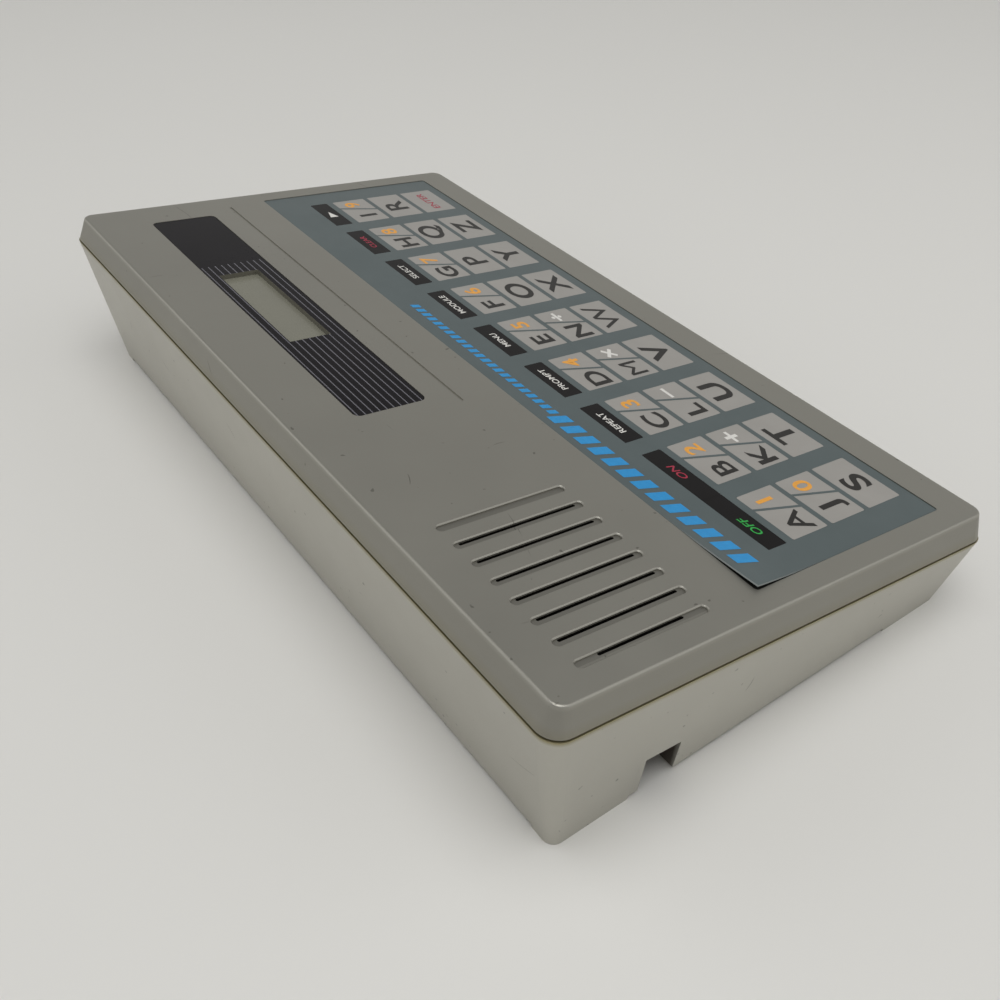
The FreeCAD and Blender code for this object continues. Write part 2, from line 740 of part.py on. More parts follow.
def windowed_film(label, top, thickness, window_depth):
    """Sheet of the overlay's size with a window, or a pocket, for every key."""
    body = new_body(label, RIM)
    number = sum(size(alias) for alias in thickness)
    sheet_sketch = rounded_rectangle(
        plane_sketch(body, label + "_sheet", top - number, 0, size("overlay_middle")),
        size("overlay_width"), size("overlay_depth"), size("overlay_corner"),
        {"width": "<overlay_width>", "depth": "<overlay_depth>", "corner": "<overlay_corner>"})
    extrude(body, "Pad", sheet_sketch, " + ".join("<%s>" % alias for alias in thickness))
    gap = size("key_gap")
    rows = [(row_y(row), "key_depth", 0, COLUMNS) for row in range(len(LETTER_ROWS))]
    rows.append((size("function_row"), "function_depth", 2, len(FUNCTION_KEYS)))
    for index, (y, depth, first, count) in enumerate(rows):
        window = rounded_rectangle(
            plane_sketch(body, "%s_window_%d" % (label, index), top, column_x(first), y),
            size("key_width") + 2 * gap, size(depth) + 2 * gap, size("key_corner"),
            {"width": "<key_width> + 2 * <key_gap>", "depth": "<%s> + 2 * <key_gap>" % depth,
             "corner": "<key_corner>"})
        pocket = extrude(body, "Pocket", window, window_depth)
        pattern(body, pocket, window, count, "%d * <column_pitch>" % (count - 1))
    bar = rounded_rectangle(
        plane_sketch(body, label + "_bar", top, (column_x(0) + column_x(1)) / 2, size("function_row")),
        BAR_WIDTH + 2 * gap, size("function_depth") + 2 * gap, size("key_corner"),
        {"width": "<column_pitch> + <key_width> + 2 * <key_gap>",
         "depth": "<function_depth> + 2 * <key_gap>", "corner": "<key_corner>"})
    extrude(body, "Pocket", bar, window_depth)
    return body


def key_panel(name, x, y, width, depth, expressions):
    """One key zone of the keypad: a thin panel that sits in its window of the overlay."""
    body = new_body("key_" + name, RIM)
    outline = rounded_rectangle(
        plane_sketch(body, "outline_" + name, SPACER_TOP, x, y), width, depth, size("key_corner"),
        dict(expressions, corner="<key_corner>"))
    extrude(body, "Pad", outline, "<film>")
    return body


def key_panels():
    """Letter keys in rows of nine, then the power bar's two halves and the function keys."""
    panels = []
    letter = {"width": "<key_width>", "depth": "<key_depth>"}
    for row, letters in enumerate(LETTER_ROWS):
        names = list(letters) + ["enter"] * (COLUMNS - len(letters))
        for column, name in enumerate(names):
            panels.append(key_panel(
                name, column_x(column), row_y(row), size("key_width"), size("key_depth"), letter))
    switch = {"width": "(<column_pitch> + <key_width>) / 2 - <key_gap>", "depth": "<function_depth>"}
    bar_middle = (column_x(0) + column_x(1)) / 2
    offset = (SWITCH_WIDTH + 2 * size("key_gap")) / 2
    for name, side in (("off", -1), ("on", 1)):
        panels.append(key_panel(
            name, bar_middle + side * offset, size("function_row"), SWITCH_WIDTH,
            size("function_depth"), switch))
    function = {"width": "<key_width>", "depth": "<function_depth>"}
    for column, name in enumerate(FUNCTION_KEYS, start=2):
        panels.append(key_panel(
            name, column_x(column), size("function_row"), size("key_width"),
            size("function_depth"), function))
    return panels


def keypad_tail():
    """Flat strip from the lower film down to the circuit board."""
    strip = box(
        "keypad_tail",
        (size("tail_side") - size("tail_width") / 2,
         size("tail_row") - size("tail_thickness") / 2, BOARD_TOP),
        RIM, Length="<tail_width>", Width="<tail_thickness>",
        Height="<band_height> - (%s) + <board_drop>" % RECESS_DEPTH)
    strip.Label = "keypad_tail"
    return strip


def tail_connector():
    """Clamp connector on the board that grips the end of the tail."""
    room = size("connector_room")
    low_x = size("tail_side") - size("tail_width") / 2
    block = box(
        "connector_block",
        (low_x - size("connector_margin"), size("tail_row") - size("connector_depth") / 2, BOARD_TOP), RIM,
        Length="<tail_width> + 2 * <connector_margin>", Width="<connector_depth>",
        Height="<connector_height>")
    mouth = box(
        "connector_mouth",
        (low_x - room, size("tail_row") - size("tail_thickness") / 2 - room, BOARD_TOP), RIM,
        Length="<tail_width> + 2 * <connector_room>", Width="<tail_thickness> + 2 * <connector_room>",
        Height="<connector_height> + <past>")
    connector = cut("tail_connector", block, mouth)
    connector.Label = "tail_connector"
    return connector


# Display


def display_plate():
    """Dark plate let into the deck, with an open window over the glass."""
    body = new_body("display_plate", RIM)
    outline = rounded_rectangle(
        plane_sketch(body, "plate_outline", PLATE_UNDER, size("plate_side"), size("plate_row")),
        size("plate_width"), size("plate_depth"), size("plate_corner"),
        {"width": "<plate_width>", "depth": "<plate_depth>", "corner": "<plate_corner>"})
    extrude(body, "Pad", outline, "<plate_thickness>")
    window = rounded_rectangle(
        plane_sketch(body, "plate_window", PLATE_TOP, size("window_side"), size("window_row")),
        size("window_width"), size("window_depth"), size("window_corner"),
        {"width": "<window_width>", "depth": "<window_depth>"})
    extrude(body, "Pocket", window, "<plate_thickness> + <past>")
    return body


def display_glass():
    """Liquid-crystal glass behind the window."""
    glass = box(
        "display_glass",
        (size("window_side") - size("glass_width") / 2, size("window_row") - size("glass_depth") / 2,
         PLATE_UNDER - size("glass_thickness")),
        RIM, Length="<glass_width>", Width="<glass_depth>", Height="<glass_thickness>")
    glass.Label = "display_glass"
    return glass


def display_holder():
    """Tray under the deck that presses the glass up against the plate."""
    body = new_body("display_holder", RIM)
    tray = rounded_rectangle(
        plane_sketch(
            body, "tray", DECK_UNDER - size("holder_height"), size("window_side"), size("window_row")),
        size("glass_width") + 2 * size("holder_margin"), size("glass_depth") + 2 * size("holder_margin"),
        size("board_corner"),
        {"width": "<glass_width> + 2 * <holder_margin>", "depth": "<glass_depth> + 2 * <holder_margin>"})
    extrude(body, "Pad", tray, "<holder_height>")
    bed = rounded_rectangle(
        plane_sketch(body, "bed", DECK_UNDER, size("window_side"), size("window_row")),
        size("glass_width") + 2 * size("seat_gap"), size("glass_depth") + 2 * size("seat_gap"),
        size("seat_corner"),
        {"width": "<glass_width> + 2 * <seat_gap>", "depth": "<glass_depth> + 2 * <seat_gap>"})
    extrude(body, "Pocket", bed, "<plate_sink> + <plate_thickness> + <glass_thickness> - <deck_thickness>")
    return body


# Speaker


def speaker_place():
    return RIM * FreeCAD.Placement(
        vector(size("speaker_side"), size("plate_row"), DECK_UNDER), FreeCAD.Rotation())


def speaker_basket():
    """Pressed steel frame: a flat rim against the deck and a funnel down to the magnet."""
    sheet_metal = size("speaker_sheet")
    radius = size("speaker_radius")
    depth = size("speaker_depth")
    neck = size("speaker_neck")
    vent = size("speaker_vent")
    shoulder = radius - size("speaker_flange")
    return solid_of_revolution("speaker_basket", (
        (shoulder, 0), (radius, 0), (radius, -sheet_metal), (shoulder + sheet_metal, -sheet_metal),
        (neck + sheet_metal, -depth), (vent, -depth), (vent, sheet_metal - depth),
        (neck, sheet_metal - depth),
    ), speaker_place())


def speaker_cone():
    """Paper cone with its dust cap, clear of the frame."""
    sheet_paper = size("cone_sheet")
    radius = size("speaker_radius") - size("speaker_flange") - size("cone_room")
    neck = size("cone_neck")
    bottom = size("cone_lift") - size("speaker_depth")
    return solid_of_revolution("speaker_cone", (
        (radius, -sheet_paper), (radius, -2 * sheet_paper), (neck, bottom), (0, bottom),
        (0, bottom + size("dust_cap")), (neck, bottom + 2 * sheet_paper),
    ), speaker_place())


def speaker_magnet():
    """Magnet pot under the frame."""
    magnet = cylinder(
        "speaker_magnet",
        (size("speaker_side"), size("plate_row"), DECK_UNDER - size("speaker_depth") - size("magnet_height")),
        RIM, Radius="<magnet_radius>", Height="<magnet_height>")
    magnet.Label = "speaker_magnet"
    return magnet


# Electronics


def main_board():
    """Printed circuit board hung from the pillars of the upper shell."""
    body = new_body("main_board", RIM)
    outline = rounded_rectangle(
        plane_sketch(body, "board_outline", BOARD_UNDER, size("board_side"), size("board_row")),
        size("board_width"), size("board_depth"), size("board_corner"),
        {"width": "<board_width>", "depth": "<board_depth>"})
    extrude(body, "Pad", outline, "<board_thickness>")
    hole = circles(
        plane_sketch(body, "board_hole", BOARD_TOP), standoffs(),
        size("board_screw_radius") + size("screw_room"), "<board_screw_radius> + <screw_room>")
    extrude(body, "Pocket", hole, "<board_thickness>")
    return body


def board_screws():
    """Four screws that hold the board up to its pillars."""
    screws = []
    for x, y in standoffs():
        head = cylinder(
            "board_screw_head", (x, y, BOARD_UNDER - size("board_head_height")), RIM,
            Radius="<board_head_radius>", Height="<board_head_height>")
        shank = cylinder(
            "board_screw_shank", (x, y, BOARD_UNDER), RIM,
            Radius="<board_screw_radius> - <thread_room>", Height="<board_screw_length>")
        screws.append(fuse("board_screw", [head, shank]))
    return group("board_screws", screws)


def chip(label, side, length):
    """Chip package under the board, on two rows of legs."""
    left = size("board_side") + side - length / 2
    row = size("board_row") + size("chip_row")
    inset = size("leg_depth") - size("seat_gap")
    package = box(
        label + "_package",
        (left, row - size("chip_width") / 2 + inset, BOARD_UNDER - size("leg_length") - size("chip_height")),
        RIM, Width="<chip_width> - 2 * (<leg_depth> - <seat_gap>)", Height="<chip_height>")
    package.Length = length
    shapes = [package]
    for low in (row - size("chip_width") / 2, row + size("chip_width") / 2 - size("leg_depth")):
        legs = box(
            label + "_legs",
            (left + inset, low, BOARD_UNDER - size("leg_length") - size("chip_height") / 2), RIM,
            Width="<leg_depth>", Height="<leg_length> + <chip_height> / 2")
        legs.Length = length - 2 * inset
        shapes.append(legs)
    part = fuse(label, shapes)
    part.Label = label
    return part


def board_capacitors():
    """Can capacitors that stand on the board's underside."""
    cans = []
    for index, (radius, height) in enumerate(CAPACITORS):
        can = doc.addObject("Part::Cylinder", "capacitor_can")
        can.Radius = radius
        can.Height = height
        x = size("board_side") + size("capacitor_side") + index * size("capacitor_pitch")
        place = vector(x, size("board_row") + size("capacitor_row"), BOARD_UNDER - height)
        can.Placement = RIM * FreeCAD.Placement(place, FreeCAD.Rotation())
        cans.append(can)
    return group("board_capacitors", cans)


def clock_crystal():
    """Quartz can beside the processor."""
    can = box(
        "clock_crystal",
        (size("board_side") + size("crystal_side"), size("board_row") + size("crystal_row"),
         BOARD_UNDER - size("crystal_height")),
        RIM, Length="<crystal_length>", Width="<crystal_width>", Height="<crystal_height>")
    can.Label = "clock_crystal"
    return can


# Battery bay


def cell_row(row):
    """Middle of a row of cells, counted from the front."""
    first = BAY_FRONT + size("cell_room") + size("cell_radius")
    return first + row * (2 * size("cell_radius") + size("cell_room"))


def battery_cells():
    """Four round cells in two rows, each a can with its raised cap."""
    cells = []
    turn = FreeCAD.Rotation(vector(0, 1, 0), 90)
    gap = size("cell_gap")
    for row in (0, 1):
        for place in (-1, 0):
            start = BAY_MIDDLE + place * size("cell_length")
            can = cylinder(
                "cell_can", (start + gap, cell_row(row), CELL_AXIS), TABLE, turn,
                Radius="<cell_radius>", Height="<cell_length> - <cap_height> - 4 * <cell_gap>")
            cap_start = start + size("cell_length") - size("cap_height") - 3 * gap
            cap = cylinder(
                "cell_cap", (cap_start, cell_row(row), CELL_AXIS), TABLE, turn,
                Radius="<cap_radius>", Height="<cap_height>")
            cells.append(fuse("battery_cell", [can, cap]))
    return group("battery_cells", cells)


def battery_contacts():
    """Sheet contacts at both ends of the bay, each with its sprung bump."""
    contacts = []
    sheet_metal = size("contact_sheet")
    half = size("contact_side") / 2
    for end, wall_x, low_x in ((-1, BAY_LEFT, BAY_LEFT), (1, BAY_RIGHT, BAY_RIGHT - sheet_metal)):
        for row in (0, 1):
            leaf = box(
                "contact_leaf", (low_x, cell_row(row) - half, CELL_AXIS - half), TABLE,
                Length="<contact_sheet>", Width="<contact_side>", Height="<contact_side>")
            spring = doc.addObject("Part::Cone", "contact_spring")
            bind(spring, Radius1="<spring_foot>", Radius2="<spring_tip>",
                 Height="<contact_room> - <contact_sheet> - <contact_gap>")
            spring.Placement = FreeCAD.Placement(
                vector(wall_x - end * sheet_metal, cell_row(row), CELL_AXIS),
                FreeCAD.Rotation(vector(0, 1, 0), -90 * end))
            contacts.append(fuse("battery_contact", [leaf, spring]))
    return group("battery_contacts", contacts)


def battery_door():
    """Lid in the floor, with two tongues behind the rear ledge and a finger notch in front."""
    gap = size("door_gap")
    left = BAY_LEFT + gap
    front = BAY_FRONT + gap
    panel = box(
        "door_panel", (left, front, size("foot_lift")), TABLE,
        Length="2 * (<cell_length> + <contact_room> - <door_gap>)",
        Width="4 * <cell_radius> + 3 * <cell_room> - <bay_ledge> - 2 * <door_gap>",
        Height="<floor_thickness>")
    tongues = []
    root_y = DOOR_REAR - gap - size("tongue_root")
    for side in (-1, 1):
        x = BAY_MIDDLE + side * DOOR_LENGTH / 4 - size("tongue_width") / 2
        tongues.append(box(
            "door_tongue", (x, root_y, FLOOR_TOP + size("tongue_lift")), TABLE,
            Length="<tongue_width>", Width="<tongue_root> + <door_gap> + <tongue_reach>",
            Height="<tongue_thickness>"))
        tongues.append(box(
            "door_neck", (x, root_y, FLOOR_TOP - size("neck_bite")), TABLE,
            Length="<tongue_width>", Width="<tongue_root> - <door_gap>", Height="2 * <neck_bite>"))
    notch = cylinder(
        "door_notch", (BAY_MIDDLE, front - size("notch_setback"), size("foot_lift") - size("past")), TABLE,
        Radius="<notch_radius>", Height="<notch_depth> + <past>")
    door = cut("battery_door", fuse("door_solid", [panel] + tongues), notch)
    door.Label = "battery_door"
    return door


def power_jack():
    """Adaptor jack behind the tunnel: a block with a round ferrule through the tunnel's end."""
    turn = FreeCAD.Rotation(vector(0, 1, 0), 90)
    side = size("jack_side")
    inside = INLET_END + size("inlet_wall")
    row = INLET_ROW
    height = size("jack_height")
    block = box(
        "jack_block", (inside, row - side / 2, height - side / 2 + size("jack_offset")), TABLE,
        Length="<jack_length> - <inlet_wall>", Width="<jack_side>", Height="<jack_side>")
    ferrule = cylinder(
        "jack_ferrule", (INLET_END, row, height), TABLE, turn,
        Radius="<ferrule_radius>", Height="<inlet_wall> + <past>")
    bore = cylinder(
        "jack_bore", (INLET_END - size("past"), row, height), TABLE, turn,
        Radius="<jack_bore>", Height="<jack_bore_depth> + <past>")
    jack = cut("power_jack", fuse("jack_body", [block, ferrule]), bore)
    jack.Label = "power_jack"
    return jack


overlay = windowed_film("keypad_overlay", OVERLAY_TOP, ("film",), "<film> + <past>")
membrane = windowed_film(
    "membrane_circuit", SPACER_TOP, ("key_travel", "key_stop_gap", "base_film"),
    "<key_travel> + <key_stop_gap>")

SUB_PARTS = [
    top_cover(),
    bottom_case(),
    overlay,
    membrane,
    keypad_tail(),
    tail_connector(),
    display_plate(),
    display_glass(),
    display_holder(),
    speaker_basket(),
    speaker_cone(),
    speaker_magnet(),
    main_board(),
    board_capacitors(),
    clock_crystal(),
    battery_cells(),
    battery_contacts(),
    battery_door(),
    power_jack(),
    case_screws(),
    board_screws(),
] + [chip(*line) for line in CHIPS] + key_panels()

doc.recompute()

for thing in doc.Objects:
    if "Invalid" in thing.State or "Error" in thing.State:
        raise RuntimeError("%s did not build: %s" % (thing.Label, thing.State))
for piece in SUB_PARTS:
    if piece.Shape.isNull() or not piece.Shape.isValid() or not piece.Shape.Solids:
        raise RuntimeError("%s has no sound solid" % piece.Label)

os.makedirs("parts", exist_ok=True)
for piece in SUB_PARTS:
    piece.Shape.exportStep("parts/%s.step" % piece.Label)
print("%d sub-parts" % len(SUB_PARTS))
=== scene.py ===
# %% [markdown]
# # A table-top learning computer
# The object is a wedge-shaped plastic case with a flat printed keypad. Its solid pieces come from
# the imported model; this lesson gives them their finishes, prints the keys and sets the stage.
# Everything is placed in metres in the model's own frame: X to the user's right, Y towards the
# display, Z up from the table.

# %% Load the solid pieces
import math

import bpy
import numpy as np
from mathutils import Matrix, Vector


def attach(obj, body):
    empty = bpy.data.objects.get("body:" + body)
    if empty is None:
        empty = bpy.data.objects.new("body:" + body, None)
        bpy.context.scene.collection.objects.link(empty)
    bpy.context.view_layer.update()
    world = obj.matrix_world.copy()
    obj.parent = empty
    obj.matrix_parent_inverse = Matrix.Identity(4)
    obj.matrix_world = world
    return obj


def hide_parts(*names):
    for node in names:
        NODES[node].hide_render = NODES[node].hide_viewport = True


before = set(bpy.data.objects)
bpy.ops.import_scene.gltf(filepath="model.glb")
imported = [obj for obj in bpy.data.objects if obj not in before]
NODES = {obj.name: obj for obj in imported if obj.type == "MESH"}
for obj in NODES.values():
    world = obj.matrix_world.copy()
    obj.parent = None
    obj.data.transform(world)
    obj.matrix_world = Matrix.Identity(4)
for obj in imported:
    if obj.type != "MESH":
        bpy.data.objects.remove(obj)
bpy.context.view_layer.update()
MM = 0.001
print("loaded", len(NODES), "pieces")

# %% [markdown]
# ## The tilted deck
# The keypad, the display and the grille all lie in one plane that leans back nine degrees. Working
# out each print in sloping coordinates and tilting it once is simpler than turning every object,
# and it leaves each finished mesh at the origin, where the patterns of its material stay put.

# %% Deck coordinates
TILT = math.radians(9.0)
RIM_HEIGHT = 33.8
DECK_TOP = 7.5


def deck(x, v, w):
    """Deck point to frame point: turn (v, w) by the tilt about X, add the rim height, mm to m."""
    x, v, w = np.broadcast_arrays(x, v, w)
    y = v * math.cos(TILT) - w * math.sin(TILT)
    z = RIM_HEIGHT + v * math.sin(TILT) + w * math.cos(TILT)
    return np.stack([x, y, z], axis=-1).reshape(-1, 3) * MM


def mesh_piece(name, points, faces, materials, face_material=None):
    """Mesh object at the origin from whole arrays of points and faces."""
    mesh = bpy.data.meshes.new(name)
    mesh.from_pydata(points, [], faces)
    for material in materials:
        mesh.materials.append(material)
    if face_material is not None:
        mesh.polygons.foreach_set("material_index", np.asarray(face_material, dtype=np.int32))
    mesh.update()
    made = bpy.data.objects.new(name, mesh)
    bpy.context.scene.collection.objects.link(made)
    return made


print("deck middle is at", deck(0, 0, DECK_TOP)[0].round(4))

# %% [markdown]
# ## Mixing colours and nodes
# Colours are picked from the photograph as sRGB, the way a screen shows them, and the shader wants
# linear light, so one function converts them. A second one adds a node, sets its values and links
# it, which keeps each finish short enough to read as a recipe. Two more work out what most of the
# finishes share: a colour that drifts between two shades, and a place in deck coordinates.

# %% Colour and node helpers


def linear(code, alpha=1.0):
    """sRGB hex to linear: below 0.04045 divide by 12.92, else ((c + 0.055) / 1.055) to the 2.4."""
    values = np.array([int(code[i:i + 2], 16) for i in (1, 3, 5)]) / 255
    curve = np.where(values <= 0.04045, values / 12.92, ((values + 0.055) / 1.055) ** 2.4)
    return (*curve.tolist(), alpha)


def add(tree, kind, inputs=(), **settings):
    """One node with its settings; each input is a value, or a socket to link from."""
    made = tree.nodes.new("ShaderNode" + kind)
    for name, value in settings.items():
        setattr(made, name, value)
    for socket, value in dict(inputs).items():
        if isinstance(value, bpy.types.NodeSocket):
            tree.links.new(value, made.inputs[socket])
        else:
            made.inputs[socket].default_value = value
    return made


def new_material(name):
    """Empty material with its Principled shader and Object coordinates."""
    material = bpy.data.materials.new(name)
    material.use_nodes = True
    tree = material.node_tree
    surface = tree.nodes["Principled BSDF"]
    place = add(tree, "TexCoord").outputs["Object"]
    return material, tree, surface, place


def per_metre(millimetres):
    """Noise scale whose features are about this many millimetres across."""
    return 1 / (millimetres * MM)


def clouded(tree, place, size_mm, detail, shade, light_shade):
    """Colour that goes from one sRGB shade to another as noise of a real size goes from 0 to 1."""
    cloud = add(tree, "TexNoise", {"Vector": place, "Scale": per_metre(size_mm), "Detail": detail})
    return add(tree, "MixRGB", {"Fac": cloud.outputs["Fac"], "Color1": linear(shade),
                                "Color2": linear(light_shade)}).outputs["Color"]


def deck_sockets(tree, place):
    """Frame place to deck place, in metres: x as it is, v = y cos(tilt) + (z - rim) sin(tilt) and
    w = (z - rim) cos(tilt) - y sin(tilt)."""
    across = add(tree, "SeparateXYZ", {"Vector": place})
    turned = []
    for of_y, of_z in ((math.cos(TILT), math.sin(TILT)), (-math.sin(TILT), math.cos(TILT))):
        rise = add(tree, "Math", {0: across.outputs["Z"], 1: of_z, 2: -RIM_HEIGHT * MM * of_z},
                   operation="MULTIPLY_ADD")
        turned.append(add(tree, "Math", {0: across.outputs["Y"], 1: of_y, 2: rise.outputs[0]},
                          operation="MULTIPLY_ADD").outputs[0])
    return across.outputs["X"], *turned


print("mid grey is", np.round(linear("#7f7f7f")[0], 4), "in linear light")

# %% [markdown]
# ## Moulded ABS
# The case is injection-moulded ABS sprayed silver: fine aluminium flake in a satin lacquer, gone
# slightly yellow along the parting edge where hands and light reach it. The flake makes it mostly a
# metal to the eye, so the walls pick up the pale table while the deck stays darker. The base is
# given lighter shades than the cover, which is painted light, as both shells are the same silver. A
# faint grain, a few dust specks, hairline scratches and uneven gloss are noise at real sizes, so
# they cost no geometry, and the cover's sloping band is darkened with a painted shade. The true
# grain is a tenth of a millimetre, too fine to show, so it is drawn at half a millimetre.

# %% Case plastic
CLOUD_MM, WEAR_MM = 55.0, 18.0
GRAIN_MM, GRAIN_DEPTH_MM, GRAIN_STRENGTH = 0.5, 0.05, 0.12
SPECK_MM, SPECK_FROM, SPECK_FULL, SPECK_SHARE = 2.2, 0.76, 0.80, 0.45
SCRATCH_MM, SCRATCH_MIDDLE, SCRATCH_REACH = 30.0, 0.5, 0.0022
PATCH_MM, PATCH_FROM, PATCH_FULL, PATCH_SHARE = 15.0, 0.63, 0.69, 0.5
BAND_SHADE_MM = 1.2
SATIN, DULL = 0.34, 0.48
FLAKE_SHARE = 0.8
# The grey is painted shade on the cover's band; the yellow is ageing and the brown is dust.
AGED_YELLOW, BAND_SHADE_GREY, DUST_BROWN = "#8f8456", "#4c4a44", "#3a3832"


def silvered_abs(name, shade, light_shade, aged_from, aged_to, aged_share, band_shade_share):
    """Silvered ABS: clouded colour, dust specks, hairline scratches, fine grain, and a yellow tint
    that grows between two heights w (mm) over the rim plane. Below the deck's top a share of dark
    is painted shade on the cover's sloping band. A scratch is where a slow noise passes through
    its middle value."""
    material, tree, surface, place = new_material(name)
    w = deck_sockets(tree, place)[2]
    edge = add(tree, "MapRange", {"Value": w, "From Min": aged_from * MM,
                                  "From Max": aged_to * MM, "To Max": aged_share})
    # Painted shade: dark that grows below the deck's top, on the sloping band.
    band_shade = add(tree, "MapRange", {"Value": w, "From Min": (DECK_TOP - BAND_SHADE_MM) * MM,
                                     "From Max": DECK_TOP * MM, "To Min": band_shade_share,
                                     "To Max": 0.0})
    dust = add(tree, "TexNoise", {"Vector": place, "Scale": per_metre(SPECK_MM), "Detail": 1.0})
    speck = add(tree, "MapRange", {"Value": dust.outputs["Fac"], "From Min": SPECK_FROM,
                                   "From Max": SPECK_FULL, "To Max": SPECK_SHARE})
    drift = add(tree, "TexNoise", {"Vector": place, "Scale": per_metre(SCRATCH_MM), "Detail": 0.0})
    hairline = add(tree, "Math", {0: drift.outputs["Fac"], 1: SCRATCH_MIDDLE, 2: SCRATCH_REACH},
                   operation="COMPARE")
    patch = add(tree, "TexNoise", {"Vector": place, "Scale": per_metre(PATCH_MM), "Detail": 1.0})
    some = add(tree, "MapRange", {"Value": patch.outputs["Fac"], "From Min": PATCH_FROM,
                                  "From Max": PATCH_FULL, "To Max": PATCH_SHARE})
    scratch = add(tree, "Math", {0: hairline.outputs[0], 1: some.outputs[0]}, operation="MULTIPLY")
    colour = clouded(tree, place, CLOUD_MM, 4.0, shade, light_shade)
    for share, over in ((edge, AGED_YELLOW), (band_shade, BAND_SHADE_GREY),
                        (speck, DUST_BROWN), (scratch, DUST_BROWN)):
        colour = add(tree, "MixRGB", {"Fac": share.outputs[0], "Color1": colour,
                                      "Color2": linear(over)}).outputs["Color"]
    tree.links.new(colour, surface.inputs["Base Color"])
    wear = add(tree, "TexNoise", {"Vector": place, "Scale": per_metre(WEAR_MM), "Detail": 6.0})
    gloss = add(tree, "MapRange", {"Value": wear.outputs["Fac"], "To Min": SATIN, "To Max": DULL})
    tree.links.new(gloss.outputs[0], surface.inputs["Roughness"])
    grain = add(tree, "TexNoise", {"Vector": place, "Scale": per_metre(GRAIN_MM), "Detail": 2.0})
    bump = add(tree, "Bump", {"Height": grain.outputs["Fac"], "Strength": GRAIN_STRENGTH,
                              "Distance": GRAIN_DEPTH_MM * MM})
    tree.links.new(bump.outputs[0], surface.inputs["Normal"])
    surface.inputs["Metallic"].default_value = FLAKE_SHARE
    return material


# Both shells are the same silver: the base's lighter shades are painted light.
cover_abs = silvered_abs("silvered_abs_cover", "#9d9b93", "#a7a59c", 3.0, 0.3, 0.22, 0.26)
base_abs = silvered_abs("silvered_abs_base", "#b2b0a8", "#bcbab1", -1.6, -0.3, 0.8, 0.0)
print("made", cover_abs.name, "and", base_abs.name)

# %% [markdown]
# Inside the adaptor notch in the left wall, a dark brown is painted shade, growing in from the
# wall. Three plain tests of position pick it out: how far in from the leaning wall a point lies,
# whether it is between the notch's sides, and whether it is left of the notch's end.

# %% Painted shade in the notch
NOTCH_ROW, NOTCH_HALF = 35.8, 5.45
NOTCH_MIDDLE, NOTCH_REACH = -116.5, 9.5
WALL_FOOT, WALL_LEAN = -124.5, 0.087
NOTCH_SHADE_START, NOTCH_SHADE_FULL, NOTCH_SHADE_SHARE = 0.3, 1.5, 0.92
# Painted shade: the dark brown stands for the shadow inside the notch.
NOTCH_SHADE_BROWN = "#43392f"


def boxed(tree, share, *limits):
    """The share where each value lies within its reach of its middle (mm), and nought elsewhere."""
    for value, middle, reach in limits:
        near = add(tree, "Math", {0: value, 1: middle * MM, 2: reach * MM}, operation="COMPARE")
        share = add(tree, "Math", {0: share, 1: near.outputs[0]}, operation="MULTIPLY").outputs[0]
    return share


def lay_over(material, share, shade):
    """A shade laid over a finished material's colour by a share."""
    tree = material.node_tree
    colour = tree.nodes["Principled BSDF"].inputs["Base Color"]
    over = add(tree, "MixRGB", {"Fac": share, "Color1": colour.links[0].from_socket,
                                "Color2": linear(shade)})
    tree.links.new(over.outputs["Color"], colour)


def painted_notch_shade(material):
    """Painted notch shade: brown growing with x + lean * z - foot, the way in from the wall."""
    tree = material.node_tree
    across = add(tree, "SeparateXYZ", {"Vector": add(tree, "TexCoord").outputs["Object"]})
    x, y, z = (across.outputs[axis] for axis in "XYZ")
    way_in = add(tree, "Math", {0: z, 1: WALL_LEAN, 2: x}, operation="MULTIPLY_ADD")
    inside = add(tree, "MapRange", {"Value": way_in.outputs[0], "To Max": NOTCH_SHADE_SHARE,
                                    "From Min": (WALL_FOOT + NOTCH_SHADE_START) * MM,
                                    "From Max": (WALL_FOOT + NOTCH_SHADE_FULL) * MM})
    shown = boxed(tree, inside.outputs[0], (y, NOTCH_ROW, NOTCH_HALF),
                  (x, NOTCH_MIDDLE, NOTCH_REACH))
    lay_over(material, shown, NOTCH_SHADE_BROWN)
    print("bare from", NOTCH_SHADE_FULL, "mm in from the wall of", material.name)


painted_notch_shade(base_abs)

# %% [markdown]
# The speaker's slits get a painted shade: their walls are drawn in a near-black brown for their
# deep shadow, and the shallow slots around them are drawn a little darker. The test here is the
# depth below the deck, inside a box that holds all eight slots.

# %% Painted shade in the slits
SLOT_DEPTH, SLOT_BEVEL = 0.6, 0.3
SLIT_EDGE, SLIT_FULL = 0.02, 0.12
GRILLE_SIDE, GRILLE_HALF_WIDTH = -91.2, 28.0
GRILLE_ROW, GRILLE_HALF_DEPTH = 40.8, 20.0
GROOVE_DARK_SHARE, SLIT_SHADE_SHARE = 0.2, 0.95
# Painted shade: the near-black brown stands for the deep shadow in the slits; the slots use it too.
SLIT_SHADE_BROWN = "#1d1915"


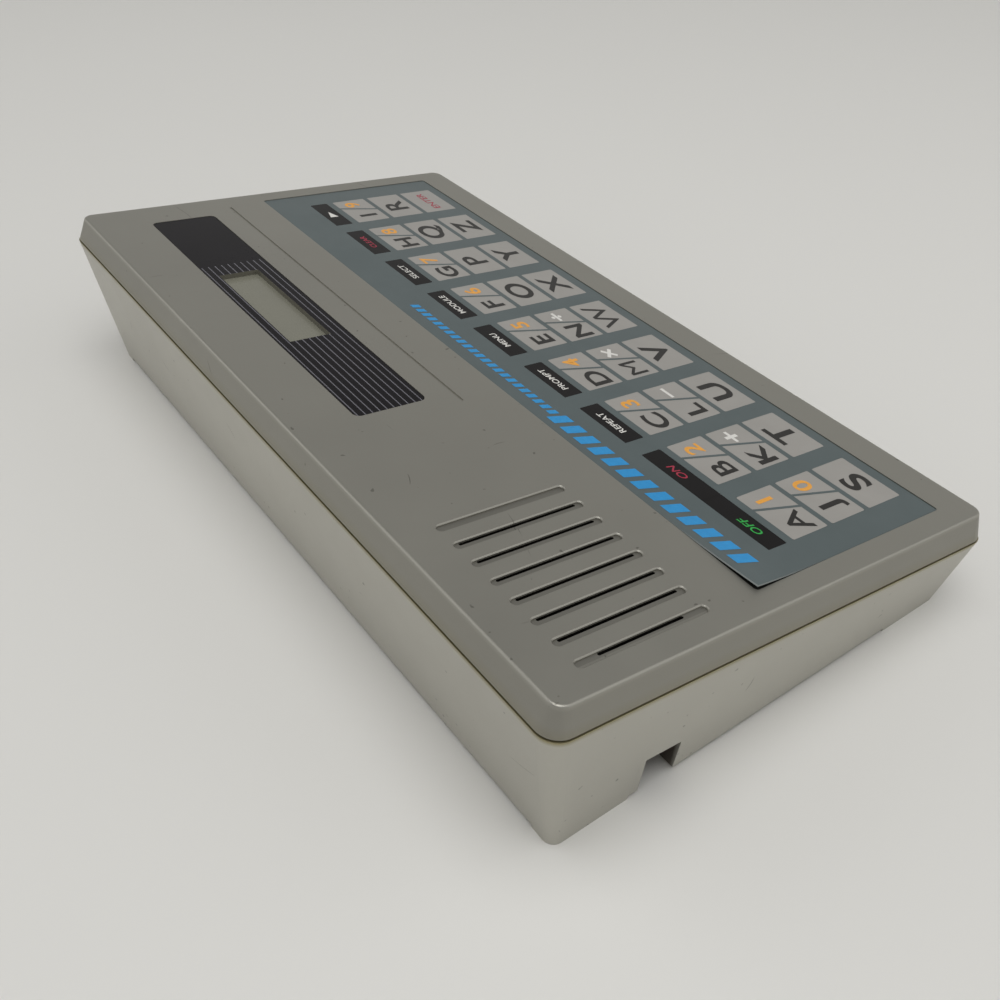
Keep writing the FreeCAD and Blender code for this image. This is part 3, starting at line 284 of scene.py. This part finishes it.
def painted_slit_shade(material):
    """Near the grille: darker from the slots' bevels down, painted shade below their floors."""
    tree = material.node_tree
    x, v, w = deck_sockets(tree, add(tree, "TexCoord").outputs["Object"])
    floor_w = DECK_TOP - SLOT_DEPTH
    groove_dark = add(tree, "MapRange", {"Value": w, "From Min": (DECK_TOP - SLOT_BEVEL) * MM,
                                   "From Max": DECK_TOP * MM, "To Min": GROOVE_DARK_SHARE, "To Max": 0.0})
    # Painted shade below the slots' floors.
    shaded = add(tree, "MapRange", {"Value": w, "From Min": (floor_w - SLIT_FULL) * MM,
                                  "From Max": (floor_w - SLIT_EDGE) * MM, "To Min": SLIT_SHADE_SHARE,
                                  "To Max": 0.0})
    most = add(tree, "Math", {0: groove_dark.outputs[0], 1: shaded.outputs[0]}, operation="MAXIMUM")
    shown = boxed(tree, most.outputs[0], (x, GRILLE_SIDE, GRILLE_HALF_WIDTH),
                  (v, GRILLE_ROW, GRILLE_HALF_DEPTH))
    lay_over(material, shown, SLIT_SHADE_BROWN)
    print("slits of", material.name, "are bare below", round(floor_w, 2), "mm over the rim")


painted_slit_shade(cover_abs)

# %% Finishes on the case


def finish_nodes(material, *names):
    """Give CAD nodes their finish: one slot, with the mesh itself untouched."""
    for name in names:
        NODES[name].data.materials.clear()
        NODES[name].data.materials.append(material)
    print(material.name, "on", len(names), "piece(s)")


finish_nodes(cover_abs, "top_cover")
finish_nodes(base_abs, "bottom_case", "battery_door")

# %% [markdown]
# ## Printed polyester film
# The keypad is one sheet of polyester printed from behind: slate between the keys, warm grey and
# black on them. Behind-printing gives a flat even colour under a slightly textured, softly shiny
# skin. The skin's texture is about a third of a millimetre, drawn as a gentle bump. Where the sheet
# was cut, its edge is drawn paler: a painted highlight.

# %% Keypad film
SKIN_MM, SKIN_DEPTH_MM, SKIN_STRENGTH = 0.35, 0.03, 0.10
INK_DRIFT_MM, RUB_MM = 9.0, 22.0
RUB_SMOOTHER, RUB_ROUGHER = 0.06, 0.08
POLYESTER_IOR = 1.58


def printed_film(name, shade, light_shade, roughness=0.38, shine=0.5):
    """Film colour that drifts a little from ink thickness, under a fine skin texture."""
    material, tree, surface, place = new_material(name)
    colour = clouded(tree, place, INK_DRIFT_MM, 3.0, shade, light_shade)
    tree.links.new(colour, surface.inputs["Base Color"])
    skin = add(tree, "TexNoise", {"Vector": place, "Scale": per_metre(SKIN_MM), "Detail": 1.0})
    bump = add(tree, "Bump", {"Height": skin.outputs["Fac"], "Strength": SKIN_STRENGTH,
                              "Distance": SKIN_DEPTH_MM * MM})
    tree.links.new(bump.outputs[0], surface.inputs["Normal"])
    rub = add(tree, "TexNoise", {"Vector": place, "Scale": per_metre(RUB_MM), "Detail": 5.0})
    gloss = add(tree, "MapRange", {"Value": rub.outputs["Fac"], "To Min": roughness - RUB_SMOOTHER,
                                   "To Max": roughness + RUB_ROUGHER})
    tree.links.new(gloss.outputs[0], surface.inputs["Roughness"])
    surface.inputs["IOR"].default_value = POLYESTER_IOR
    surface.inputs["Specular IOR Level"].default_value = shine
    return material


slate_film = printed_film("polyester_film_slate", "#4b5657", "#556061", shine=0.45)
grey_film = printed_film("polyester_film_warm_grey", "#94918c", "#9f9c97")
black_film = printed_film("polyester_film_black", "#0b090a", "#120f10", shine=0.15)
# The paler film on the cut edges is a painted highlight.
cut_edge_highlight = printed_film("polyester_film_cut_edge_highlight", "#8d9495", "#9aa1a2")
LETTERS = "abcdefghijklmnopqrstuvwxyz"
FUNCTION_KEYS = ("repeat", "prompt", "menu", "module", "select", "clear", "next")
finish_nodes(grey_film, *("key_" + letter for letter in LETTERS), "key_enter")
finish_nodes(black_film, "key_off", "key_on", *("key_" + name for name in FUNCTION_KEYS))

# %% [markdown]
# ## The overlay sheet with its lifted corner
# On the real keypad the glue has let go at the corner nearest the speaker, and the film curls up
# by a millimetre and a half. A curl is a height over the sheet, so the sheet is drawn as a grid in
# deck coordinates whose lines run along every key window; grid cells inside a window are left out
# and the height fades away from the corner. A Solidify modifier then gives the film its thickness.

# %% Keypad layout
COLUMNS, MIDDLE_COLUMN, COLUMN_PITCH = 9, 4, 25.4
LETTER_ROWS, ROW_PITCH = 3, 14.27
KEY_WIDTH, KEY_DEPTH = 19.15, 12.5
LETTER_ROW, FUNCTION_ROW, FUNCTION_DEPTH = -20.7, -8.8, 6.4
KEY_GAP = 0.03
FILM_TOP, FILM_THICKNESS = 7.3, 0.4
OVERLAY_WIDTH, OVERLAY_FRONT, OVERLAY_REAR = 240.2, -59.05, 8.05


def column_x(column):
    """Middle of a key column: its count from the middle column times the pitch."""
    return (column - MIDDLE_COLUMN) * COLUMN_PITCH


def row_v(row):
    """Middle of a letter row: the first row's place less the pitch times the row's count."""
    return LETTER_ROW - ROW_PITCH * row


half_key = KEY_WIDTH / 2 + KEY_GAP
letter_columns = [(column_x(c) - half_key, column_x(c) + half_key) for c in range(COLUMNS)]
function_columns = [(column_x(0) - half_key, column_x(1) + half_key)] + letter_columns[2:]
half_row, half_function = KEY_DEPTH / 2 + KEY_GAP, FUNCTION_DEPTH / 2 + KEY_GAP
window_rows = [((row_v(r) - half_row, row_v(r) + half_row), letter_columns)
               for r in range(LETTER_ROWS)]
window_rows.append(((FUNCTION_ROW - half_function, FUNCTION_ROW + half_function), function_columns))
print(sum(len(columns) for span, columns in window_rows), "windows in the overlay")

# %% Overlay sheet
CURL_HEIGHT, CURL_ALONG, CURL_DOWN = 1.5, 46.0, 30.0
FINE_ALONG, FINE_DOWN = 60, 40  # mm of sheet with a grid line at every millimetre


def curl(x, v):
    """Height of the lifted corner: (1 - way along the rear edge - way down the side) squared."""
    left = 1 - (x + OVERLAY_WIDTH / 2) / CURL_ALONG - (OVERLAY_REAR - v) / CURL_DOWN
    return CURL_HEIGHT * np.clip(left, 0, 1) ** 2


edge_x = [edge for span in letter_columns for edge in span]
edge_v = [edge for (low, high), _ in window_rows for edge in (low, high)]
left_lines = np.linspace(-OVERLAY_WIDTH / 2, -OVERLAY_WIDTH / 2 + FINE_ALONG, FINE_ALONG + 1)
rear_lines = np.linspace(OVERLAY_REAR - FINE_DOWN, OVERLAY_REAR, FINE_DOWN + 1)
grid_x = np.unique(np.round(np.r_[left_lines, edge_x, OVERLAY_WIDTH / 2], 4))
grid_v = np.unique(np.round(np.r_[OVERLAY_FRONT, edge_v, rear_lines], 4))
cell_x, cell_v = (grid_x[:-1] + grid_x[1:]) / 2, (grid_v[:-1] + grid_v[1:]) / 2
solid = np.ones((len(cell_v), len(cell_x)), dtype=bool)
for (low, high), columns in window_rows:
    in_row = (cell_v > low) & (cell_v < high)
    in_columns = np.any([(cell_x > a) & (cell_x < b) for a, b in columns], axis=0)
    solid &= ~np.outer(in_row, in_columns)
rows, cols = np.nonzero(solid)
corner = rows * len(grid_x) + cols
quads = np.stack([corner, corner + 1, corner + 1 + len(grid_x), corner + len(grid_x)], axis=1)
sheet_x, sheet_v = np.meshgrid(grid_x, grid_v)
points = deck(sheet_x, sheet_v, FILM_TOP + curl(sheet_x, sheet_v))
used, quads = np.unique(quads, return_inverse=True)
overlay = mesh_piece("keypad_overlay_film", points[used], quads.reshape(-1, 4).tolist(),
                     [slate_film, cut_edge_highlight])
thickness = overlay.modifiers.new("film_thickness", "SOLIDIFY")
thickness.thickness = FILM_THICKNESS * MM
thickness.offset = -1
# The film's rim faces take the paler film, a painted highlight.
thickness.material_offset_rim = 1
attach(overlay, "case")
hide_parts("keypad_overlay")
print("overlay has", len(quads) // 4, "cells, corner lifted", CURL_HEIGHT, "mm")

# %% [markdown]
# ## Legends
# Letters, numbers and signs are printed inks. Blender's text makes good outlines, but a text object
# keeps its own turn and scale, so each string is turned into plain triangles first, measured, put
# into deck coordinates and joined into one mesh per key. Each mesh rides on its key, so that the
# print goes down with it. Ink stands a few hundredths of a millimetre proud to keep it visible.

# %% Ink finishes and lettering
INK_PROUD = 0.03
INK_TOP = FILM_TOP + INK_PROUD
MOTTLE_MM = 1.2


def screen_ink(name, shade, light_shade):
    """Opaque screen-printed ink: colour with a slight mottle, satin skin."""
    material, tree, surface, place = new_material(name)
    colour = clouded(tree, place, MOTTLE_MM, 2.0, shade, light_shade)
    tree.links.new(colour, surface.inputs["Base Color"])
    surface.inputs["Roughness"].default_value = 0.4
    return material


INKS = {
    "black": screen_ink("screen_ink_black", "#14120f", "#1d1a17"),
    "orange": screen_ink("screen_ink_orange", "#e09a35", "#eaa848"),
    "white": screen_ink("screen_ink_white", "#d6d4cf", "#e4e2dd"),
    "crimson": screen_ink("screen_ink_crimson", "#9a1f3a", "#ab2a45"),
    "green": screen_ink("screen_ink_green", "#1f9a3c", "#2bab49"),
    "blue": screen_ink("screen_ink_blue", "#1c86c4", "#2a95d3"),
    "slate": slate_film,
    "bar": black_film,
}
INK_NAMES = list(INKS)


def glyphs(text, bold=0.0, slant=0.0):
    """Outline of a string at a text size of 1, as points about its middle, and its faces."""
    curve = bpy.data.curves.new("lettering", "FONT")
    curve.body = text
    curve.offset = bold
    curve.shear = slant
    holder = bpy.data.objects.new("lettering", curve)
    bpy.context.scene.collection.objects.link(holder)
    bpy.context.view_layer.update()
    outline = holder.evaluated_get(bpy.context.evaluated_depsgraph_get()).to_mesh()
    flat = np.zeros(len(outline.vertices) * 3)
    outline.vertices.foreach_get("co", flat)
    faces = [tuple(face.vertices) for face in outline.polygons]
    bpy.data.objects.remove(holder)
    bpy.data.curves.remove(curve)
    flat = flat.reshape(-1, 3)[:, :2]
    middle = (flat.min(axis=0) + flat.max(axis=0)) / 2
    return flat - middle, faces


cap_points, _ = glyphs("H")
CAP_HEIGHT = np.ptp(cap_points[:, 1])
print("capital letters are", round(float(CAP_HEIGHT), 3), "of the text size")

# %% Print one key


def print_marks(name, body, x, v, marks):
    """Join strings and plain strips into one mesh on the deck around (x, v)."""
    all_points, all_faces, inks, start = [], [], [], 0
    for ink, outline, faces in marks:
        all_points.append(outline)
        all_faces += [tuple(start + index for index in face) for face in faces]
        inks += [INK_NAMES.index(ink)] * len(faces)
        start += len(outline)
    flat = np.concatenate(all_points)
    x, v = x + flat[:, 0], v + flat[:, 1]
    lift = curl(x, v) if body == "case" else 0.0
    points = deck(x, v, INK_TOP + lift)
    piece = mesh_piece(name, points, all_faces, list(INKS.values()), inks)
    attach(piece, body)


def lettering(ink, text, height, dx=0.0, dv=0.0, stretch=1.25, bold=0.0, slant=0.0):
    """String of a cap height in mm, stretched sideways as wide faces are, moved to its place."""
    outline, faces = glyphs(text, bold, slant)
    scale = height / CAP_HEIGHT
    return ink, outline * (scale * stretch, scale) + (dx, dv), faces


def strip(ink, corners):
    """Four-cornered patch of ink."""
    return ink, np.array(corners, dtype=float), [(0, 1, 2, 3)]


print("inks to print with:", ", ".join(INK_NAMES))

# %% Letter keys
SLASH_FOOT, SLASH_HEAD, SLASH_WIDTH = -0.05 * KEY_WIDTH, 0.16 * KEY_WIDTH, 0.9
slash = strip("slate", (
    (SLASH_FOOT, -KEY_DEPTH / 2), (SLASH_FOOT + SLASH_WIDTH, -KEY_DEPTH / 2),
    (SLASH_HEAD + SLASH_WIDTH, KEY_DEPTH / 2), (SLASH_HEAD, KEY_DEPTH / 2)))
SECOND_MARKS = dict(zip("abcdefghijklmn", "1234567890+−×÷"))
LETTER_CAP, LONE_CAP, DIGIT_CAP, SIGN_CAP = 6.2, 7.6, 5.0, 5.6
LETTER_PLACE, SECOND_PLACE = (-4.6, -0.5), (5.4, 0.4)
USUAL_WEIGHT, SECOND_WEIGHT = 0.026, 0.02
WEIGHTS = {"a": 0.010, "b": 0.014, "m": 0.0, "p": 0.016, "r": 0.016, "w": 0.0}
for row, names in enumerate(("abcdefghi", "jklmnopqr", "stuvwxyz")):
    for column, letter in enumerate(names):
        second = SECOND_MARKS.get(letter)
        weight = WEIGHTS.get(letter, USUAL_WEIGHT)
        if second:
            ink = "orange" if second.isdigit() else "white"
            cap = DIGIT_CAP if second.isdigit() else SIGN_CAP
            marks = [slash,
                     lettering("black", letter.upper(), LETTER_CAP, *LETTER_PLACE, bold=weight),
                     lettering(ink, second, cap, *SECOND_PLACE, bold=SECOND_WEIGHT)]
        else:
            marks = [lettering("black", letter.upper(), LONE_CAP, bold=weight)]
        print_marks("print_" + letter, "key_%s_zone" % letter, column_x(column), row_v(row), marks)
print("printed", len(LETTERS), "letter keys")

# %% Word keys
ENTER_CAP, SWITCH_CAP, WORD_CAP = 2.6, 2.2, 1.9
WORD_WEIGHT, WORD_STRETCH = 0.012, 1.15
SWITCH_SHIFT, SWITCH_SLANT = 0.6, 0.2
SEAM_HALF = 0.2
ARROW_HALF, ARROW_SIDE = 2.4, 1.5
print_marks("print_enter", "key_enter_zone", column_x(8), row_v(2),
            [lettering("crimson", "ENTER", ENTER_CAP, bold=WORD_WEIGHT)])
for column, (name, ink) in enumerate((("off", "green"), ("on", "crimson"))):
    print_marks("print_" + name, "key_%s_zone" % name, column_x(column) - SWITCH_SHIFT,
                FUNCTION_ROW,
                [lettering(ink, name.upper(), SWITCH_CAP, bold=WORD_WEIGHT, slant=SWITCH_SLANT)])
seam = strip("bar", ((-SEAM_HALF, -FUNCTION_DEPTH / 2), (SEAM_HALF, -FUNCTION_DEPTH / 2),
                     (SEAM_HALF, FUNCTION_DEPTH / 2), (-SEAM_HALF, FUNCTION_DEPTH / 2)))
print_marks("print_seam", "case", (column_x(0) + column_x(1)) / 2, FUNCTION_ROW, [seam])
for column, name in enumerate(FUNCTION_KEYS, start=2):
    mark = lettering("crimson" if name == "clear" else "white", name.upper(), WORD_CAP,
                     stretch=WORD_STRETCH, bold=WORD_WEIGHT)
    if name == "next":
        arrow = np.array([(-ARROW_HALF, -ARROW_SIDE), (ARROW_HALF, 0.0), (-ARROW_HALF, ARROW_SIDE)])
        mark = "white", arrow, [(0, 1, 2)]
    print_marks("print_" + name, "key_%s_zone" % name, column_x(column), FUNCTION_ROW, [mark])
print("printed", 3 + len(FUNCTION_KEYS), "word keys")

# %% [markdown]
# ## The display panel
# The dark panel is tinted acrylic with thin pale pinstripes printed along it. Stripes are a repeat
# of one coordinate, so the shader draws them: the distance up the slope is folded by the stripe
# spacing and compared with the stripe's width. The window's own walls are drawn greyer. The
# liquid-crystal glass below is grey-green.

# %% Panel and glass
ACRYLIC_CLOUD_MM, GLASS_CLOUD_MM = 14.0, 20.0
STRIPE_PITCH_MM = 2.15
STRIPE_WIDTH_MM = 0.32
STRIPE_START, STRIPE_END = 1.17, 76.0
STRIPE_GREY, WALL_GREY = "#6d6c72", "#6b695f"
WINDOW_SIDE, WINDOW_ROW = 45.9, 41.7
WINDOW_HALF_WIDTH, WINDOW_HALF_DEPTH = 23.23, 6.43


def pinstriped_acrylic():
    """Near-black acrylic; pale where fract((v - start) / pitch) is under width / pitch and x is
    left of the end; grey on the walls of the window."""
    material, tree, surface, place = new_material("tinted_acrylic_pinstriped")
    x, v, _ = deck_sockets(tree, place)
    repeat = add(tree, "Math", {0: v, 1: 1 / (STRIPE_PITCH_MM * MM),
                                2: -STRIPE_START / STRIPE_PITCH_MM}, operation="MULTIPLY_ADD")
    fold = add(tree, "Math", {0: repeat.outputs[0]}, operation="FRACT")
    stripe = add(tree, "Math", {0: fold.outputs[0], 1: STRIPE_WIDTH_MM / STRIPE_PITCH_MM},
                 operation="LESS_THAN")
    until = add(tree, "Math", {0: x, 1: STRIPE_END * MM}, operation="LESS_THAN")
    shown = add(tree, "Math", {0: stripe.outputs[0], 1: until.outputs[0]}, operation="MULTIPLY")
    wall = boxed(tree, 1.0, (x, WINDOW_SIDE, WINDOW_HALF_WIDTH), (v, WINDOW_ROW, WINDOW_HALF_DEPTH))
    colour = clouded(tree, place, ACRYLIC_CLOUD_MM, 3.0, "#100e11", "#161318")
    for share, over in ((shown.outputs[0], STRIPE_GREY), (wall, WALL_GREY)):
        colour = add(tree, "MixRGB", {"Fac": share, "Color1": colour,
                                      "Color2": linear(over)}).outputs["Color"]
    tree.links.new(colour, surface.inputs["Base Color"])
    surface.inputs["Roughness"].default_value = 0.35
    surface.inputs["Specular IOR Level"].default_value = 0.12
    return material


def crystal_glass():
    """Grey-green display glass: a soft cloud of tone under a clear shiny face."""
    material, tree, surface, place = new_material("liquid_crystal_glass")
    colour = clouded(tree, place, GLASS_CLOUD_MM, 2.0, "#77766b", "#828174")
    tree.links.new(colour, surface.inputs["Base Color"])
    surface.inputs["Roughness"].default_value = 0.25
    surface.inputs["Specular IOR Level"].default_value = 0.35
    return material


finish_nodes(pinstriped_acrylic(), "display_plate")
finish_nodes(crystal_glass(), "display_glass")

# %% [markdown]
# ## The pieces inside
# Behind the slots is a black paper cone in a pressed steel frame, and under the case are the
# battery door's cells and contacts. They show only as glints, but each has its own material, so
# that the part still looks right when it is opened. One recipe serves: two close shades, clouded
# at a real size, with the metal and gloss of the stuff it is made of.

# %% Inner materials


def plain_stuff(name, shade, light_shade, size_mm, roughness, metallic=0.0):
    """Two shades clouded at a real size, with a given gloss."""
    material, tree, surface, place = new_material(name)
    colour = clouded(tree, place, size_mm, 3.0, shade, light_shade)
    tree.links.new(colour, surface.inputs["Base Color"])
    surface.inputs["Roughness"].default_value = roughness
    surface.inputs["Metallic"].default_value = metallic
    return material


finish_nodes(plain_stuff("pulp_paper_black", "#0d0d0d", "#171616", 0.8, 0.9), "speaker_cone")
finish_nodes(plain_stuff("zinc_plated_steel", "#a9aaa6", "#c2c2bd", 2.5, 0.35, 1.0),
             "speaker_basket", "battery_contacts", "case_screws", "board_screws", "clock_crystal")
finish_nodes(plain_stuff("sintered_ferrite", "#2a2a2b", "#363637", 1.5, 0.7), "speaker_magnet")
finish_nodes(plain_stuff("glass_fibre_board", "#2f6a3a", "#3b7a45", 3.0, 0.4), "main_board")
finish_nodes(plain_stuff("moulded_black_nylon", "#141414", "#1f1f1f", 1.0, 0.5),
             "display_holder", "tail_connector", "power_jack",
             "processor_chip", "voice_chip", "memory_chip")
finish_nodes(plain_stuff("carbon_printed_polyester", "#2b2a28", "#363531", 4.0, 0.3),
             "membrane_circuit", "keypad_tail")
finish_nodes(plain_stuff("lacquered_cell_jacket", "#8a6a2c", "#97773a", 6.0, 0.35, 0.4),
             "battery_cells", "board_capacitors")

# %% [markdown]
# ## Blue trim
# The margin behind the keys is dressed with a run of plain slanted bars in bright blue: broad ones,
# then small ones. One strip for each would stay flat, so each bar is a small grid that follows the
# film up at the lifted corner.

# %% Slanted bars
BAR_SLANT = 0.35
BAR_CELLS = 6
BROAD_BAR, SMALL_BAR = (3.6, 0.3, 5.6), (1.9, 1.2, 3.8)  # width, low and high edge
BROAD_RUN, SMALL_RUN = (-113.5, -46, 5.6), (-41, 30, 3.1)  # first, end and step


def slanted_bar(left, width, low, high):
    """Grid between two slanted sides: x = left + s * width + slant * (v - low), v = low to high."""
    step = np.linspace(0, 1, BAR_CELLS + 1)
    s, t = (grid.ravel() for grid in np.meshgrid(step, step))
    v = low + t * (high - low)
    start = np.arange((BAR_CELLS + 1) * BAR_CELLS).reshape(BAR_CELLS, -1)[:, :-1].ravel()
    quads = np.stack([start, start + 1, start + BAR_CELLS + 2, start + BAR_CELLS + 1], axis=1)
    return "blue", np.stack([left + s * width + BAR_SLANT * (v - low), v], axis=1), quads.tolist()


broad_bars = [slanted_bar(left, *BROAD_BAR) for left in np.arange(*BROAD_RUN)]
small_bars = [slanted_bar(left, *SMALL_BAR) for left in np.arange(*SMALL_RUN)]
print_marks("print_trim", "case", 0.0, 0.0, broad_bars + small_bars)
print("trim has", len(broad_bars), "broad and", len(small_bars), "small bars")

# %% [markdown]
# ## Stage
# The photograph was taken in a white light box: a pale matt floor, and light from all round. A wide
# floor, a world that glows more at the walls than at the roof, and three large soft lamps, of which
# the one overhead is the strongest, give the same faint shadows.

# %% Floor and light
FLOOR_HALF = 2.0
WALL_GLOW, ROOF_GLOW, ROOF_FROM = 0.74, 0.2, 0.7
floor_corners = np.array([(-1, -1, 0), (1, -1, 0), (1, 1, 0), (-1, 1, 0)]) * FLOOR_HALF
floor_card = plain_stuff("matt_white_card", "#e0dfdb", "#e3e2de", 300.0, 0.6)
floor = mesh_piece("floor", floor_corners, [(0, 1, 2, 3)], [floor_card])

world = bpy.data.worlds.new("light_box")
bpy.context.scene.world = world
world.use_nodes = True
sky = world.node_tree
backdrop = sky.nodes["Background"]
backdrop.inputs["Color"].default_value = linear("#f6f5f2")
ray = add(sky, "SeparateXYZ", {"Vector": add(sky, "TexCoord").outputs["Generated"]})
glow = add(sky, "MapRange", {"Value": ray.outputs["Z"], "From Max": ROOF_FROM,
                             "To Min": WALL_GLOW, "To Max": ROOF_GLOW})
sky.links.new(glow.outputs[0], backdrop.inputs["Strength"])
print("floor is", 2 * FLOOR_HALF, "m wide")

# %% Soft lamps
LAMPS = (  # name, place, point it faces, side in m, power in W
    ("overhead_panel", (-0.22, 0.1, 1.3), (0.1, -0.1, 0), 1.0, 9.4),
    ("left_panel", (-0.8, -0.8, 0.85), (0, 0, 0.02), 1.2, 2.9),
    ("rear_panel", (0.8, 0.8, 0.85), (0, 0, 0.02), 1.2, 2.9),
)


def soft_lamp(name, place, aim, size, power):
    """Square area lamp that faces a point."""
    lamp = bpy.data.lights.new(name, "AREA")
    lamp.size = size
    lamp.energy = power
    made = bpy.data.objects.new(name, lamp)
    made.location = place
    made.rotation_euler = (Vector(aim) - Vector(place)).to_track_quat("-Z", "Y").to_euler()
    bpy.context.scene.collection.objects.link(made)


for lamp_row in LAMPS:
    soft_lamp(*lamp_row)
print("stage has", len(LAMPS), "lamps")

# %% [markdown]
# ## Camera
# The camera was worked out from the photograph: where the key columns and case edges meet the
# picture fixes its place, its lean and its lens.

# %% Camera
EYE = (-229.41, 153.43, 218.00)
RIGHT = Vector((-0.5840, -0.8117, -0.0083))
FORWARD = Vector((0.6203, -0.4397, -0.6496)).normalized()
SENSOR_WIDTH, FOCAL_LENGTH = 36.0, 40.19
lens = bpy.data.cameras.new("camera")
lens.sensor_width = SENSOR_WIDTH
lens.lens = FOCAL_LENGTH
camera = bpy.data.objects.new("camera", lens)
side = (RIGHT - FORWARD * RIGHT.dot(FORWARD)).normalized()
up = side.cross(FORWARD)
turn = Matrix((side, up, -FORWARD)).transposed()
camera.matrix_world = Matrix.Translation(Vector(EYE) * MM) @ turn.to_4x4()
bpy.context.scene.collection.objects.link(camera)
bpy.context.scene.camera = camera
bpy.context.scene.view_settings.view_transform = "Standard"
print("camera", round(camera.location.length, 3), "m from the origin")
